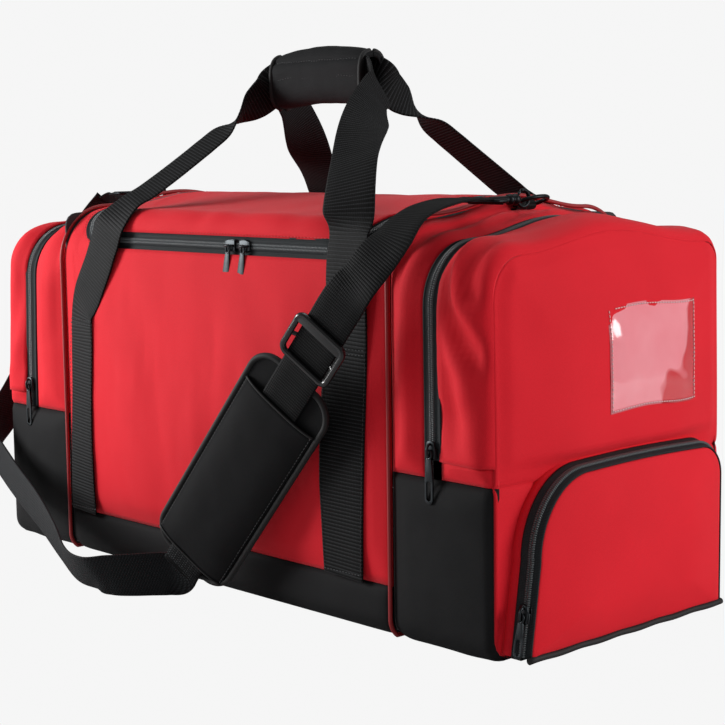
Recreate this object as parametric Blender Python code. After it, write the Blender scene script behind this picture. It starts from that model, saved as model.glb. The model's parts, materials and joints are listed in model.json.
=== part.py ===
"""Hockey equipment bag with two end compartments, a U-zip lid and a detachable shoulder strap.

Metres, +Z up. The origin is on the floor under the middle of the bag. X runs along the bag, the
front (strap side) faces -Y and the right end, which carries the small pocket, faces +X.
"""

import math

import bmesh
import bpy
from mathutils import Matrix, Vector

# Driving sizes of the whole bag
LENGTH = 0.680
DEPTH = 0.290
SEAM_X = 0.228            # piped seams between the main and the end compartments
BASE_SEAM_Z = 0.043       # top of the black base band
END_SEAM_Z = 0.137        # top of the black lower part of each end
FOLD_Z = 0.152            # line about which an unzipped end folds outwards
FABRIC = 0.0025           # one lined panel
TAPE = 0.0015             # zip tape
GAP = 0.0003              # clearance between neighbouring solids
WEB = 0.0020              # webbing thickness

# Cross-section
MAIN_EDGE_Z, MAIN_CROWN, MAIN_CORNER = 0.338, 0.012, 0.018
END_EDGE_Z, END_DROP, END_CROWN, END_CORNER = 0.324, 0.008, 0.014, 0.024
FLOOR_CORNER = 0.012

# Zips
ZIP_Z = 0.310             # middle of the main zip on the front
ZIP_X = 0.2012            # middle of the main zip's side runs
ZIP_ROOM = 0.0020         # room between the two tapes for the teeth and the slider's web
TAPE_WIDTH = 0.0088
RIGHT_ZIP_X = 0.2752
LEFT_ZIP_X = 0.2922
LID_END = 0.90            # share of the half depth at which the lid ends at the back

# Handles
HANDLE_PIVOT = (0.165, 0.335)      # distance from the middle plane, height
HANDLE_FOLD_OUT = 0.0016      # the loop folds outwards about the webbing's outer face
HANDLE_WIDTH = 0.050
SEWN_TOP_Z = 0.245
RIGHT_LEG_X = (0.175, 0.186)       # at the base seam and at the top of the sewn part
LEFT_LEG_X = (-0.199, -0.188)
FOLD_X = {"front": (-0.138, 0.200), "back": (-0.182, 0.130)}    # legs where the loop folds
GRIP_ENDS = (-0.064, 0.062)
GRIP_Z = 0.459
GRIP_HEIGHT = 0.052
GRIP_PLAY = 0.0006

# Right end pocket
POCKET_DEPTH = 0.0225
POCKET_FLOOR_Z = 0.010
POCKET_TOP_Z = 0.147

# Strap
STRAP_WIDTH = 0.038
PAD_LENGTH, PAD_WIDTH, PAD_THICK = 0.234, 0.084, 0.015
RING_X, RING_Z = 0.2405, 0.3430

HALF_D = DEPTH / 2
HALF_L = LENGTH / 2
PLATE_X = HALF_L - FABRIC          # inner face of the end panels
SIDE_X = PLATE_X - GAP             # where gussets stop, just inside the end panels
MAIN_X = SEAM_X - 0.0028           # where the main panels stop beside the piping
GUSSET_X = SEAM_X + 0.0028         # where the end gussets start beside the piping


def clear_scene():
    for obj in list(bpy.data.objects):
        bpy.data.objects.remove(obj, do_unlink=True)


def material(name, colour, roughness, metallic=0.0):
    mat = bpy.data.materials.new(name)
    mat.use_nodes = True
    shader = mat.node_tree.nodes["Principled BSDF"]
    shader.inputs["Base Color"].default_value = (*colour, 1.0)
    shader.inputs["Roughness"].default_value = roughness
    shader.inputs["Metallic"].default_value = metallic
    mat.diffuse_color = (*colour, 1.0)
    return mat


clear_scene()
RED = material("red_polyester", (0.70, 0.02, 0.03), 0.75)
BLACK = material("black_polyester", (0.015, 0.015, 0.017), 0.80)
BOARD = material("grey_board", (0.25, 0.25, 0.26), 0.60)
ZIP_TAPE = material("zip_tape", (0.03, 0.032, 0.035), 0.70)
WEBBING = material("black_webbing", (0.010, 0.010, 0.011), 0.65)
GUNMETAL = material("gunmetal", (0.10, 0.10, 0.11), 0.30, 1.0)
PLASTIC = material("black_plastic", (0.010, 0.010, 0.011), 0.35)
WINDOW = material("clear_window", (0.85, 0.80, 0.82), 0.08)


# ---------------------------------------------------------------- cross-section of the bag

def section_sizes(x):
    """Height of the top edge, rise of the crown and corner radius of the section at x."""
    if abs(x) <= SEAM_X:
        return MAIN_EDGE_Z, MAIN_CROWN, MAIN_CORNER
    along = (abs(x) - SEAM_X) / (HALF_L - SEAM_X)
    return END_EDGE_Z - END_DROP * along, END_CROWN, END_CORNER


def surface(x, row, offset=0.0):
    """Point of the outer surface at x. A row is (zone, value); offset runs along the normal."""
    zone, value = row
    edge, crown, corner = section_sizes(x)
    low = FLOOR_CORNER
    if zone in ("front", "back"):
        y, z, normal = HALF_D, value, (1.0, 0.0)
    elif zone in ("front_corner", "back_corner"):
        angle = value * math.pi / 2
        y = HALF_D - corner + corner * math.cos(angle)
        z = edge - corner + corner * math.sin(angle)
        normal = (math.cos(angle), math.sin(angle))
    elif zone == "top":
        y = abs(value) * (HALF_D - corner)
        z = edge + crown * 0.5 * (1 + math.cos(math.pi * value))
        slope = 0.5 * crown * math.pi * math.sin(math.pi * abs(value)) / (HALF_D - corner)
        normal = (slope, 1.0)
    elif zone in ("low_front", "low_back"):
        angle = value * math.pi / 2
        y = HALF_D - low + low * math.cos(angle)
        z = low - low * math.sin(angle)
        normal = (math.cos(angle), -math.sin(angle))
    else:
        y, z, normal = abs(value) * (HALF_D - low), 0.0, (0.0, -1.0)
    front = zone in ("front", "front_corner", "low_front") or value < 0
    side = -1.0 if front else 1.0
    size = math.hypot(*normal)
    return Vector((x, side * (y + offset * normal[0] / size), z + offset * normal[1] / size))


CORNER_STEPS = (0.25, 0.5, 0.75)
TOP_STEPS = (-1.0, -0.75, -0.5, -0.25, 0.0, 0.25, 0.5, 0.75, 1.0)


def rows_over(front_z, back_z=None, top_end=None):
    """Rows from front_z on the front, over the top, to back_z on the back or to top_end."""
    rows = [("front", front_z), ("front_corner", 0.0)]
    rows += [("front_corner", a) for a in CORNER_STEPS]
    if back_z is None:
        return rows + [("top", f) for f in TOP_STEPS if f < top_end] + [("top", top_end)]
    rows += [("top", f) for f in TOP_STEPS]
    rows += [("back_corner", a) for a in reversed(CORNER_STEPS)]
    return rows + [("back_corner", 0.0), ("back", back_z)]


def rows_under(front_z):
    """Rows from front_z on the front, under the floor, to the same height on the back."""
    rows = [("front", front_z), ("low_front", 0.0), ("low_front", 0.5)]
    rows += [("floor", -1.0), ("floor", 1.0), ("low_back", 0.5), ("low_back", 0.0)]
    return rows + [("back", front_z)]


# ---------------------------------------------------------------- mesh builders

def add_object(name, verts, faces, mat, pivot=(0, 0, 0)):
    """An object whose origin is at pivot; verts are in world coordinates."""
    mesh = bpy.data.meshes.new(name)
    pivot = Vector(pivot)
    mesh.from_pydata([Vector(v) - pivot for v in verts], [], faces)
    work = bmesh.new()
    work.from_mesh(mesh)
    bmesh.ops.recalc_face_normals(work, faces=work.faces)
    work.to_mesh(mesh)
    work.free()
    obj = bpy.data.objects.new(name, mesh)
    obj.location = pivot
    obj.data.materials.append(mat)
    bpy.context.scene.collection.objects.link(obj)
    return obj


def cell_solid(name, columns, rows, keep, point, mat, pivot=(0, 0, 0)):
    """Thick sheet of cells. point(column, row, layer) gives a corner, layer 0 inside, 1 outside."""
    verts, index, faces = [], {}, []
    cells = {
        (i, j)
        for i in range(len(columns) - 1)
        for j in range(len(rows) - 1)
        if keep(i, j)
    }

    def corner(i, j, layer):
        if (i, j, layer) not in index:
            index[i, j, layer] = len(verts)
            verts.append(point(columns[i], rows[j], layer))
        return index[i, j, layer]

    for i, j in sorted(cells):
        ring = [(i, j), (i + 1, j), (i + 1, j + 1), (i, j + 1)]
        faces.append([corner(*c, 1) for c in ring])
        faces.append([corner(*c, 0) for c in reversed(ring)])
        beside = [(i, j - 1), (i + 1, j), (i, j + 1), (i - 1, j)]
        for k, other in enumerate(beside):
            if other not in cells:
                a, b = ring[k], ring[(k + 1) % 4]
                faces.append([corner(*a, 0), corner(*b, 0), corner(*b, 1), corner(*a, 1)])
    return add_object(name, verts, faces, mat, pivot)


def skin(name, columns, rows, mat, thick=FABRIC, keep=None, pivot=(0, 0, 0)):
    """Panel that follows the bag's surface, thick inwards."""
    return cell_solid(
        name,
        columns,
        rows,
        keep or (lambda i, j: True),
        lambda x, row, layer: surface(x, row, (layer - 1) * thick),
        mat,
        pivot,
    )


def prism(name, outline, low_x, high_x, mat, pivot=(0, 0, 0)):
    """Outline of (y, z) points extruded along X."""
    count = len(outline)
    verts = [(low_x, y, z) for y, z in outline] + [(high_x, y, z) for y, z in outline]
    faces = [list(range(count)), list(range(2 * count - 1, count - 1, -1))]
    for k in range(count):
        after = (k + 1) % count
        faces.append([k, after, count + after, count + k])
    return add_object(name, verts, faces, mat, pivot)


def box(name, low, high, mat, pivot=(0, 0, 0)):
    (x0, y0, z0), (x1, y1, z1) = low, high
    return prism(name, [(y0, z0), (y1, z0), (y1, z1), (y0, z1)], x0, x1, mat, pivot)


def band(name, stations, width, thick, mat, pivot=(0, 0, 0)):
    """Strip of webbing. A station is (centre, direction of the width, either way round)."""
    centres = [Vector(c) for c, _ in stations]
    verts, faces = [], []
    before = Vector(stations[0][1])
    for k, (centre, across) in enumerate(stations):
        centre = Vector(centre)
        along = centres[min(k + 1, len(centres) - 1)] - centres[max(k - 1, 0)]
        across = Vector(across)
        across = (across - along * (across.dot(along) / along.length_squared)).normalized()
        if across.dot(before) < 0:
            across.negate()
        before = across
        normal = along.cross(across).normalized()
        half, deep = across * width / 2, normal * thick / 2
        verts += [centre - half - deep, centre + half - deep]
        verts += [centre + half + deep, centre - half + deep]
    for k in range(len(stations) - 1):
        for c in range(4):
            d = (c + 1) % 4
            a, b, e, f = 4 * k + c, 4 * k + d, 4 * k + 4 + d, 4 * k + 4 + c
            # both broad faces take the same diagonal, so that a twisted length keeps its thickness
            faces += [[a, b, f], [b, e, f]] if c == 2 else [[a, b, e], [a, e, f]]
    last = 4 * (len(stations) - 1)
    faces += [[3, 2, 1, 0], [last, last + 1, last + 2, last + 3]]
    return add_object(name, verts, faces, mat, pivot)


def round_wire(name, points, radius, mat, cyclic=True, pivot=(0, 0, 0)):
    """Round bar along points, as a bevelled curve."""
    curve = bpy.data.curves.new(name, "CURVE")
    curve.dimensions = "3D"
    curve.bevel_depth = radius
    curve.bevel_resolution = 1
    curve.use_fill_caps = True
    spline = curve.splines.new("POLY")
    spline.points.add(len(points) - 1)
    for spot, place in zip(spline.points, points):
        spot.co = (*(Vector(place) - Vector(pivot)), 1.0)
    spline.use_cyclic_u = cyclic
    curve.materials.append(mat)
    obj = bpy.data.objects.new(name, curve)
    obj.location = pivot
    bpy.context.scene.collection.objects.link(obj)
    return obj


def hide(helper):
    helper.hide_render = True
    helper.display_type = "WIRE"
    return helper


def combine(obj, helper, operation):
    """Boolean of obj with a helper that is left out of the part."""
    hide(helper)
    step = obj.modifiers.new(helper.name, "BOOLEAN")
    step.operation = operation
    step.object = helper
    step.solver = "EXACT"
    return obj


# ---------------------------------------------------------------- main compartment

def section_outline(x, inset, top=None):
    """Closed (y, z) outline of the section at x, inset all round, cut off at height top."""
    under = list(reversed(rows_under(FLOOR_CORNER)))
    if top:
        rows = [("back", top)] + under + [("front", top)]
    else:
        rows = rows_over(2 * FLOOR_CORNER, 2 * FLOOR_CORNER) + under[1:-1]
    points = [surface(x, row, -inset) for row in rows]
    return [(p.y, p.z) for p in points]


def build_main():
    skin("base_panel", [-MAIN_X, MAIN_X], rows_under(BASE_SEAM_Z - GAP), BLACK)
    box("base_board", (-0.220, -0.128, FABRIC + GAP), (0.220, 0.128, 0.0056), BOARD)
    zip_low = ZIP_Z - ZIP_ROOM / 2 - TAPE_WIDTH - GAP
    zip_out = ZIP_X + ZIP_ROOM / 2 + TAPE_WIDTH + GAP
    rows = [("front", BASE_SEAM_Z + GAP)] + rows_over(zip_low, top_end=LID_END)
    skin(
        "front_panel",
        [-MAIN_X, -zip_out, zip_out, MAIN_X],
        rows,
        RED,
        keep=lambda i, j: j == 0 or i != 1,
    )
    back = [("top", LID_END + 0.003), ("top", 1.0)]
    back += [("back_corner", a) for a in (0.75, 0.5, 0.25, 0.0)] + [("back", BASE_SEAM_Z + GAP)]
    skin("back_panel", [-MAIN_X, MAIN_X], back, RED)
    for side, sign in (("left", -1), ("right", 1)):
        inner = section_outline(sign * SEAM_X * 0.999, FABRIC + 0.0026)
        low, high = sorted((sign * (SEAM_X - 0.0010), sign * (SEAM_X + 0.0010)))
        prism(f"{side}_divider", inner, low, high, BLACK)
        path = [(sign * SEAM_X, y, z) for y, z in section_outline(sign * SEAM_X * 0.999, 0.0002)]
        path = [(x, y, max(z, 0.0024)) for x, y, z in path]
        round_wire(f"{side}_piping", path, 0.0022, RED)


def zip_band(name, columns, rows, keep=None, pivot=(0, 0, 0)):
    return skin(name, columns, rows, ZIP_TAPE, thick=TAPE, keep=keep, pivot=pivot)


LID_HINGE = (0.0, surface(0, ("top", LID_END + 0.0015)).y, surface(0, ("top", LID_END)).z)


def build_lid():
    half = ZIP_ROOM / 2
    outer = [ZIP_X + half, ZIP_X + half + TAPE_WIDTH]
    low_rows = rows_over(ZIP_Z - half - TAPE_WIDTH, top_end=LID_END)
    low_rows.insert(1, ("front", ZIP_Z - half))
    zip_band(
        "main_zip_body_tape",
        [-outer[1], -outer[0], outer[0], outer[1]],
        low_rows,
        lambda i, j: j == 0 or i != 1,
    )
    inner = [ZIP_X - half - TAPE_WIDTH, ZIP_X - half]
    top_rows = rows_over(ZIP_Z + half, top_end=LID_END)
    top_rows.insert(1, ("front", ZIP_Z + half + TAPE_WIDTH - GAP))
    zip_band(
        "main_zip_lid_tape",
        [-inner[1], -inner[0], inner[0], inner[1]],
        top_rows,
        lambda i, j: j == 0 or i != 1,
        pivot=LID_HINGE,
    )
    skin(
        "lid_panel",
        [-inner[0] + GAP, inner[0] - GAP],
        rows_over(ZIP_Z + half + TAPE_WIDTH, top_end=LID_END),
        RED,
        pivot=LID_HINGE,
    )


# ---------------------------------------------------------------- end compartments

def build_end(side, sign, zip_x):
    """Gusset, end panel and arch zip of one end; the part above the fold is the moving cap."""
    fold = (sign * (HALF_L + 0.0005), 0, FOLD_Z)
    half = ZIP_ROOM / 2
    inner = [zip_x - half - TAPE_WIDTH, zip_x - half]
    outer = [zip_x + half, zip_x + half + TAPE_WIDTH]

    def span(*xs):
        return sorted(sign * x for x in xs)

    over = rows_over(END_SEAM_Z + GAP, END_SEAM_Z + GAP)
    skin(f"{side}_inner_gusset", span(GUSSET_X, inner[0] - GAP), over, RED)
    stop = [over[0], ("front", FOLD_Z - GAP), *over[1:-1], ("back", FOLD_Z - GAP), over[-1]]
    columns = span(*inner, outer[1])
    wide = 0 if sign < 0 else 1
    zip_band(
        f"{side}_zip_inner_tape",
        columns,
        stop,
        lambda i, j: i != wide or j in (0, len(stop) - 2),
    )
    above = rows_over(FOLD_Z + GAP, FOLD_Z + GAP)
    zip_band(f"{side}_zip_outer_tape", span(*outer), above, pivot=fold)
    lower = rows_under(END_SEAM_Z - GAP)
    skin(f"{side}_lower_end", span(GUSSET_X, SIDE_X), lower, BLACK)

    low, high = span(PLATE_X, HALF_L)
    plate = prism(
        f"{side}_lower_panel", section_outline(sign * HALF_L, 0.0, FOLD_Z - GAP), low, high, RED
    )
    for place in ("front", "back"):
        collar = skin(
            f"{side}_{place}_collar",
            span(outer[1] + GAP, PLATE_X + 0.001),
            [(place, END_SEAM_Z + GAP), (place, FOLD_Z - GAP)],
            RED,
        )
        combine(plate, collar, "UNION")

    cap = skin(f"{side}_end_panel", span(outer[1] + GAP, PLATE_X + 0.001), above, RED, pivot=fold)
    points = [surface(sign * HALF_L, row) for row in above]
    face = prism(f"{side}_cap_face", [(p.y, p.z) for p in points], low, high, RED)
    combine(cap, face, "UNION")
    return fold


def build_window(fold):
    low = (HALF_L + GAP, -0.020, 0.182)
    high = (HALF_L + GAP + 0.0010, 0.095, 0.266)
    box("id_window", low, high, WINDOW, pivot=fold)


# ---------------------------------------------------------------- right end pocket

POCKET_NEAR = [(-0.131, POCKET_FLOOR_Z), (-0.120, 0.080)]
POCKET_NEAR_LEAN = math.atan2(0.011, 0.070)


def pocket_arch(inset=0.0, floor=POCKET_FLOOR_Z):
    """Open (y, z) line of the pocket: leaning near side, wide near corner, tight far corner."""
    near_y, near_z = POCKET_NEAR[1]
    points = [(POCKET_NEAR[0][0] + inset, floor), (near_y + inset, near_z)]
    wide_y, wide_z = 0.062, POCKET_TOP_Z - near_z
    for k in range(1, 6):
        angle = k * math.pi / 12
        y = near_y + inset + (wide_y - inset) * (1 - math.cos(angle))
        points.append((y, near_z + (wide_z - inset) * math.sin(angle)))
    points.append((near_y + wide_y, POCKET_TOP_Z - inset))
    far_y, tight = 0.117, 0.030
    for k in range(4):
        angle = math.pi / 2 - k * math.pi / 6
        y = far_y - tight + (tight - inset) * math.cos(angle)
        points.append((y, POCKET_TOP_Z - tight + (tight - inset) * math.sin(angle)))
    points.append((far_y - inset, floor))
    return points


def pocket_wall(name, low_x, high_x, mat, thick=TAPE, pivot=(0, 0, 0), floor=POCKET_FLOOR_Z):
    outline = pocket_arch(0.0, floor) + list(reversed(pocket_arch(thick, floor)))
    return prism(name, outline, low_x, high_x, mat, pivot)


def build_pocket():
    start = HALF_L + GAP
    front = HALF_L + POCKET_DEPTH
    fold = (front + 0.0005, 0, POCKET_FLOOR_Z)
    zip_x = HALF_L + 0.0128
    half = ZIP_ROOM / 2
    tape = 0.0060
    foot = POCKET_FLOOR_Z + GAP
    gusset = pocket_wall(
        "pocket_gusset", start, zip_x - half - tape - GAP, RED, FABRIC, floor=foot - 0.0006
    )
    floor_low = (start, pocket_arch()[0][0], POCKET_FLOOR_Z - 0.0035)
    floor_high = (front - 0.0058, pocket_arch()[-1][0], POCKET_FLOOR_Z - GAP)
    combine(gusset, box("pocket_floor", floor_low, floor_high, BLACK), "UNION")
    pocket_wall("pocket_zip_inner_tape", zip_x - half - tape, zip_x - half, ZIP_TAPE, floor=foot)
    outer = (zip_x + half, zip_x + half + tape)
    pocket_wall("pocket_zip_outer_tape", *outer, ZIP_TAPE, pivot=fold, floor=foot)
    prism("pocket_flap", pocket_arch(0.0, foot), outer[1] + GAP, front, RED, pivot=fold)
    y0, y1 = pocket_arch()[0][0], pocket_arch()[-1][0]
    corner = [(front - 0.0028, y0 + 0.003, 0.0066), (front - 0.0028, y1 - 0.003, 0.0066)]
    round_wire("pocket_piping", corner, 0.0024, BLACK, cyclic=False)
    return fold, zip_x


# ---------------------------------------------------------------- zip sliders and pulls

PIN_OUT = 0.0036          # height of the pull's pin above the tape
SLIDER_HALF_WIDTH = 0.0046
SLIDER_HALF_LENGTH = 0.0070
SLIDER_WEB = 0.0014
EYE_HALF_HEIGHT = 0.0034
EYE_HALF_THICK = 0.0011
EYE_HOLE = 0.0015
PULL_HALF_THICK = 0.0006


def slider(name, place, along_z, lean=0.0):
    """Slider on a front-facing zip: two plates joined by a web, and an eye with a hole along X.

    along_z says that the slider runs up the zip; lean turns it about X.
    """
    depth = [-0.0041, -0.0029, 0.0004, 0.0018]
    spans = [-SLIDER_HALF_WIDTH, -SLIDER_WEB / 2, SLIDER_WEB / 2, SLIDER_HALF_WIDTH]
    turn = Matrix.Rotation(lean, 4, "X")
    spot = Vector(place)

    def world(x, out, z):
        return spot + turn @ Vector((x, -out, z))

    def body_point(v, w, layer):
        end = (layer * 2 - 1) * SLIDER_HALF_LENGTH
        return world(v, w, end) if along_z else world(end, w, v)

    body = cell_solid(
        name, spans, depth, lambda i, j: j != 1 or i == 1, body_point, GUNMETAL, pivot=place
    )
    lug_rows = [-EYE_HALF_HEIGHT, -EYE_HOLE, EYE_HOLE, EYE_HALF_HEIGHT]
    lug_out = [0.0010, PIN_OUT - EYE_HOLE, PIN_OUT + EYE_HOLE - 0.0002, PIN_OUT + 0.0026]
    lug = cell_solid(
        name + "_eye",
        lug_rows,
        lug_out,
        lambda i, j: (i, j) != (1, 1),
        lambda z, w, layer: world((layer * 2 - 1) * EYE_HALF_THICK, w, z),
        GUNMETAL,
    )
    combine(body, lug, "UNION")
    return world(0.0, PIN_OUT, 0.0)


def pull(name, pin, length, lean=0.0):
    """Flat pull tab hanging from pin, with a window round the slider's eye and a hole below."""
    turn = Matrix.Rotation(lean, 4, "X")
    pin = Vector(pin)
    xs = [-0.0040, -0.0018, 0.0018, 0.0040]
    zs = [0.0007, -0.0007, -0.0060, -0.62 * length, -0.88 * length, -length]

    def point(x, z, layer):
        taper = 0.75 if z > -0.001 else 1.0
        return pin + turn @ Vector((x * taper, (1 - layer * 2) * PULL_HALF_THICK, z))

    return cell_solid(
        name, xs, zs, lambda i, j: i != 1 or j not in (1, 3), point, GUNMETAL, pivot=pin
    )


def build_sliders(pocket_zip_x):
    pins = {
        "main_left": slider("main_left_slider", (0.035, -HALF_D, ZIP_Z), False),
        "main_right": slider("main_right_slider", (0.055, -HALF_D, ZIP_Z), False),
        "left_end": slider("left_end_slider", (-LEFT_ZIP_X, -HALF_D, 0.160), True),
        "right_end": slider("right_end_slider", (RIGHT_ZIP_X, -HALF_D, 0.160), True),
    }
    for name, pin in pins.items():
        pull(f"{name}_pull", pin, 0.042)
    share = 0.45
    near = [a + (b - a) * share for a, b in zip(POCKET_NEAR[0], POCKET_NEAR[1])]
    place = (pocket_zip_x, *near)
    pin = slider("pocket_slider", place, True, lean=-POCKET_NEAR_LEAN)
    pull("pocket_pull", pin, 0.034, lean=-POCKET_NEAR_LEAN)


# ---------------------------------------------------------------- carry handles

def build_handle(side, sign):
    """Two sewn legs, the free loop that swings about their tops, and that loop's half of the grip."""
    y_pivot, z_pivot = HANDLE_PIVOT
    pivot = (0, sign * (y_pivot + HANDLE_FOLD_OUT), z_pivot)
    flat = HALF_D + GAP + WEB / 2
    left_fold, right_fold = FOLD_X[side]
    for leg, (x_low, x_sewn), x_fold in (
        ("left", LEFT_LEG_X, left_fold),
        ("right", RIGHT_LEG_X, right_fold),
    ):
        near = x_sewn + (x_fold - x_sewn) * 0.55
        stations = [
            ((x_low, sign * flat, BASE_SEAM_Z + 0.0006), (1, 0, 0)),
            ((x_sewn, sign * flat, SEWN_TOP_Z), (1, 0, 0)),
            ((near, sign * (flat + 0.010), 0.282), (1, 0, 0)),
            ((x_fold, sign * y_pivot, 0.312), (1, 0, 0)),
            ((x_fold, sign * y_pivot, z_pivot - 2 * GAP), (1, 0, 0)),
        ]
        band(f"{side}_{leg}_handle_leg", stations, HANDLE_WIDTH, WEB, WEBBING)

    inner = 0.0060
    low, high = GRIP_ENDS
    rise = [(0.0, 0.14), (0.10, 0.30), (0.45, 0.58), (0.80, 0.84)]

    def climb(start, end, turn):
        """Stations of one side of the loop, from the top of the leg to the end of the grip."""
        stations = [((start, sign * y_pivot, z_pivot), (turn, 0, 0))]
        for t_in, t_up in rise:
            x = start + (end - start) * (t_up - 0.14)
            y = y_pivot + (inner - y_pivot) * t_in
            z = z_pivot + (GRIP_Z - z_pivot) * t_up
            lean = t_up - 0.14
            stations.append(((x, sign * y, z), (turn * (1 - 0.6 * lean), sign * 0.35 * lean, -lean)))
        return stations

    upright = (0, 0, -1)
    loop = climb(left_fold, low, 1)
    for x in (low - 0.008, low + 0.012, high - 0.012, high + 0.008):
        loop.append(((x, sign * inner, GRIP_Z), upright))
    loop += reversed(climb(right_fold, high, -1))
    band(f"{side}_handle_loop", loop, 0.042, WEB, WEBBING, pivot=pivot)
    build_grip_half(side, sign, pivot)


def build_grip_half(side, sign, pivot):
    """Padded half sleeve, open towards the other half, wrapped round the loop's middle."""
    half = GRIP_HEIGHT / 2
    thick = 0.0050
    outer_y = 0.0205
    outline = [(GRIP_PLAY, half), (0.010, half), (outer_y - 0.003, half - 0.006)]
    outline += [(outer_y, half - 0.016), (outer_y, -half + 0.016)]
    outline += [(outer_y - 0.003, -half + 0.006), (0.010, -half), (GRIP_PLAY, -half)]
    wall = [(GRIP_PLAY, -half + thick - 0.002), (0.010, -half + thick - 0.002)]
    wall += [(outer_y - 0.003 - thick, -half + 0.010), (outer_y - thick, -half + 0.018)]
    wall += [(y, -z) for y, z in reversed(wall)]
    points = [(sign * y, GRIP_Z + z) for y, z in outline + wall]
    prism(f"grip_{side}_half", points, *GRIP_ENDS, BLACK, pivot=pivot)


# ---------------------------------------------------------------- shoulder strap

PAD_TOP = Vector((0.164, -0.186, 0.2095))
PAD_FOOT = Vector((0.010, -0.186, 0.0335))
PAD_AXIS = (PAD_FOOT - PAD_TOP).normalized()
PAD_FACING = Vector((0.45, -0.88, 0.12))
PAD_ACROSS = PAD_FACING.cross(PAD_AXIS).normalized()
PAD_OUT = PAD_AXIS.cross(PAD_ACROSS).normalized()
STRAP_PIVOT = (RING_X + 0.0130, -0.015, RING_Z + 0.006)
FRONT_ACROSS = Vector((0.80, 0.0, -0.60))


def local_cells(name, origin, columns, rows, keep, low_w, high_w, mat, pivot):
    """Flat plate of cells in the strap's own plane: columns across it, rows along it."""
    def point(v, u, layer):
        out = high_w if layer else low_w
        return origin + PAD_ACROSS * v + PAD_AXIS * u + PAD_OUT * out

    return cell_solid(name, columns, rows, keep, point, mat, pivot)


def build_strap():
    px, py, pz = STRAP_PIVOT
    eye_y = py - 0.0555
    upper = [
        ((px, eye_y - 0.0020, pz), (1, 0, 0)),
        ((px + 0.001, -0.100, 0.3500), (1, 0, 0)),
        ((px + 0.002, -0.130, 0.3450), (1, 0, 0)),
        ((px + 0.001, -0.150, 0.3360), (1, 0, 0)),
        ((0.2530, -0.1640, 0.3220), (0.97, 0, -0.25)),
        ((0.2455, -0.1750, 0.3070), FRONT_ACROSS),
        ((0.2350, -0.1830, 0.2900), FRONT_ACROSS),
        (PAD_TOP - PAD_AXIS * 0.086, -PAD_ACROSS),
        (PAD_TOP - PAD_AXIS * 0.080, -PAD_ACROSS),
        (PAD_FOOT + PAD_AXIS * 0.006, -PAD_ACROSS),
    ]
    band("strap_upper_webbing", upper, STRAP_WIDTH, WEB, WEBBING, pivot=STRAP_PIVOT)

    slot_v, slot_w = STRAP_WIDTH / 2 + 0.0012, WEB / 2 + 0.0006
    half_v, half_w = PAD_WIDTH / 2, PAD_THICK / 2
    ends = [-PAD_LENGTH / 2, -PAD_LENGTH / 2 + 0.018, PAD_LENGTH / 2 - 0.018, PAD_LENGTH / 2]
    middle = (PAD_TOP + PAD_FOOT) / 2
    verts, faces = [], []
    for k, u in enumerate(ends):
        narrow = 0.010 if k in (0, 3) else 0.0
        thin = 0.003 if k in (0, 3) else 0.0
        outer_v, outer_w = half_v - narrow, half_w - thin
        for v, w in ((outer_v, outer_w), (slot_v, slot_w)):
            for a, b in ((-1, -1), (1, -1), (1, 1), (-1, 1)):
                verts.append(middle + PAD_AXIS * u + PAD_ACROSS * a * v + PAD_OUT * b * w)
    for k in range(3):
        for ring in (0, 4):
            for c in range(4):
                a, b = 8 * k + ring + c, 8 * k + ring + (c + 1) % 4
                faces.append([a, b, b + 8, a + 8])
    for base in (0, 24):
        for c in range(4):
            d = (c + 1) % 4
            faces.append([base + c, base + d, base + 4 + d, base + 4 + c])
    add_object("strap_pad", verts, faces, BLACK, pivot=middle)

    seat = PAD_TOP - PAD_AXIS * 0.0345
    local_cells(
        "strap_adjuster",
        seat,
        [-0.0290, -0.0215, 0.0215, 0.0290],
        [-0.0200, -0.0165, -0.0020, 0.0020, 0.0165, 0.0200],
        lambda i, j: i != 1 or j not in (1, 3),
        WEB / 2 + 0.0005,
        WEB / 2 + 0.0037,
        PLASTIC,
        seat,
    )

    lower = [
        (PAD_FOOT + PAD_AXIS * 0.0084, PAD_ACROSS),
        (PAD_FOOT + PAD_AXIS * 0.0176, (0.72, 0.26, -0.63)),
        ((-0.0084, -0.1900, 0.0214), (0.50, 0.16, -0.84)),
        ((-0.0180, -0.2000, 0.0210), (0.15, 0.04, -0.98)),
        ((-0.0290, -0.2150, 0.0208), (0.10, 0.10, -0.95)),
        ((-0.0420, -0.2290, 0.0210), (0.08, 0.25, -0.85)),
        ((-0.0600, -0.2375, 0.0213), (0.10, 0.45, -0.75)),
        ((-0.095, -0.233, 0.0235), (0.0, 0.40, -0.90)),
        ((-0.150, -0.212, 0.0330), (0.0, 0.20, -0.95)),
        ((-0.215, -0.190, 0.0480), (0.0, 0.10, -1.0)),
        ((-0.285, -0.173, 0.0680), (0.0, 0.05, -1.0)),
        ((-0.335, -0.164, 0.0900), (0.0, 0.05, -1.0)),
        ((-0.356, -0.148, 0.1100), (0.0, 0.25, -1.0)),
        ((-0.360, -0.120, 0.1420), (0.0, 0.60, -0.80)),
        ((-0.357, -0.085, 0.1950), (0.0, 0.85, -0.55)),
        ((-0.353, -0.052, 0.2600), (0.0, 0.95, -0.30)),
        ((-0.350, -0.030, 0.3100), (0.0, 1.0, -0.10)),
        ((-0.344, -0.009, 0.3380), (0.0, 1.0, 0.0)),
        ((-0.333, -0.001, 0.3455), (0.0, 1.0, 0.0)),
        ((-0.3190, 0.0, 0.3484), (0.0, 1.0, 0.0)),
    ]
    band("strap_lower_webbing", lower, STRAP_WIDTH, WEB, WEBBING)


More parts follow.
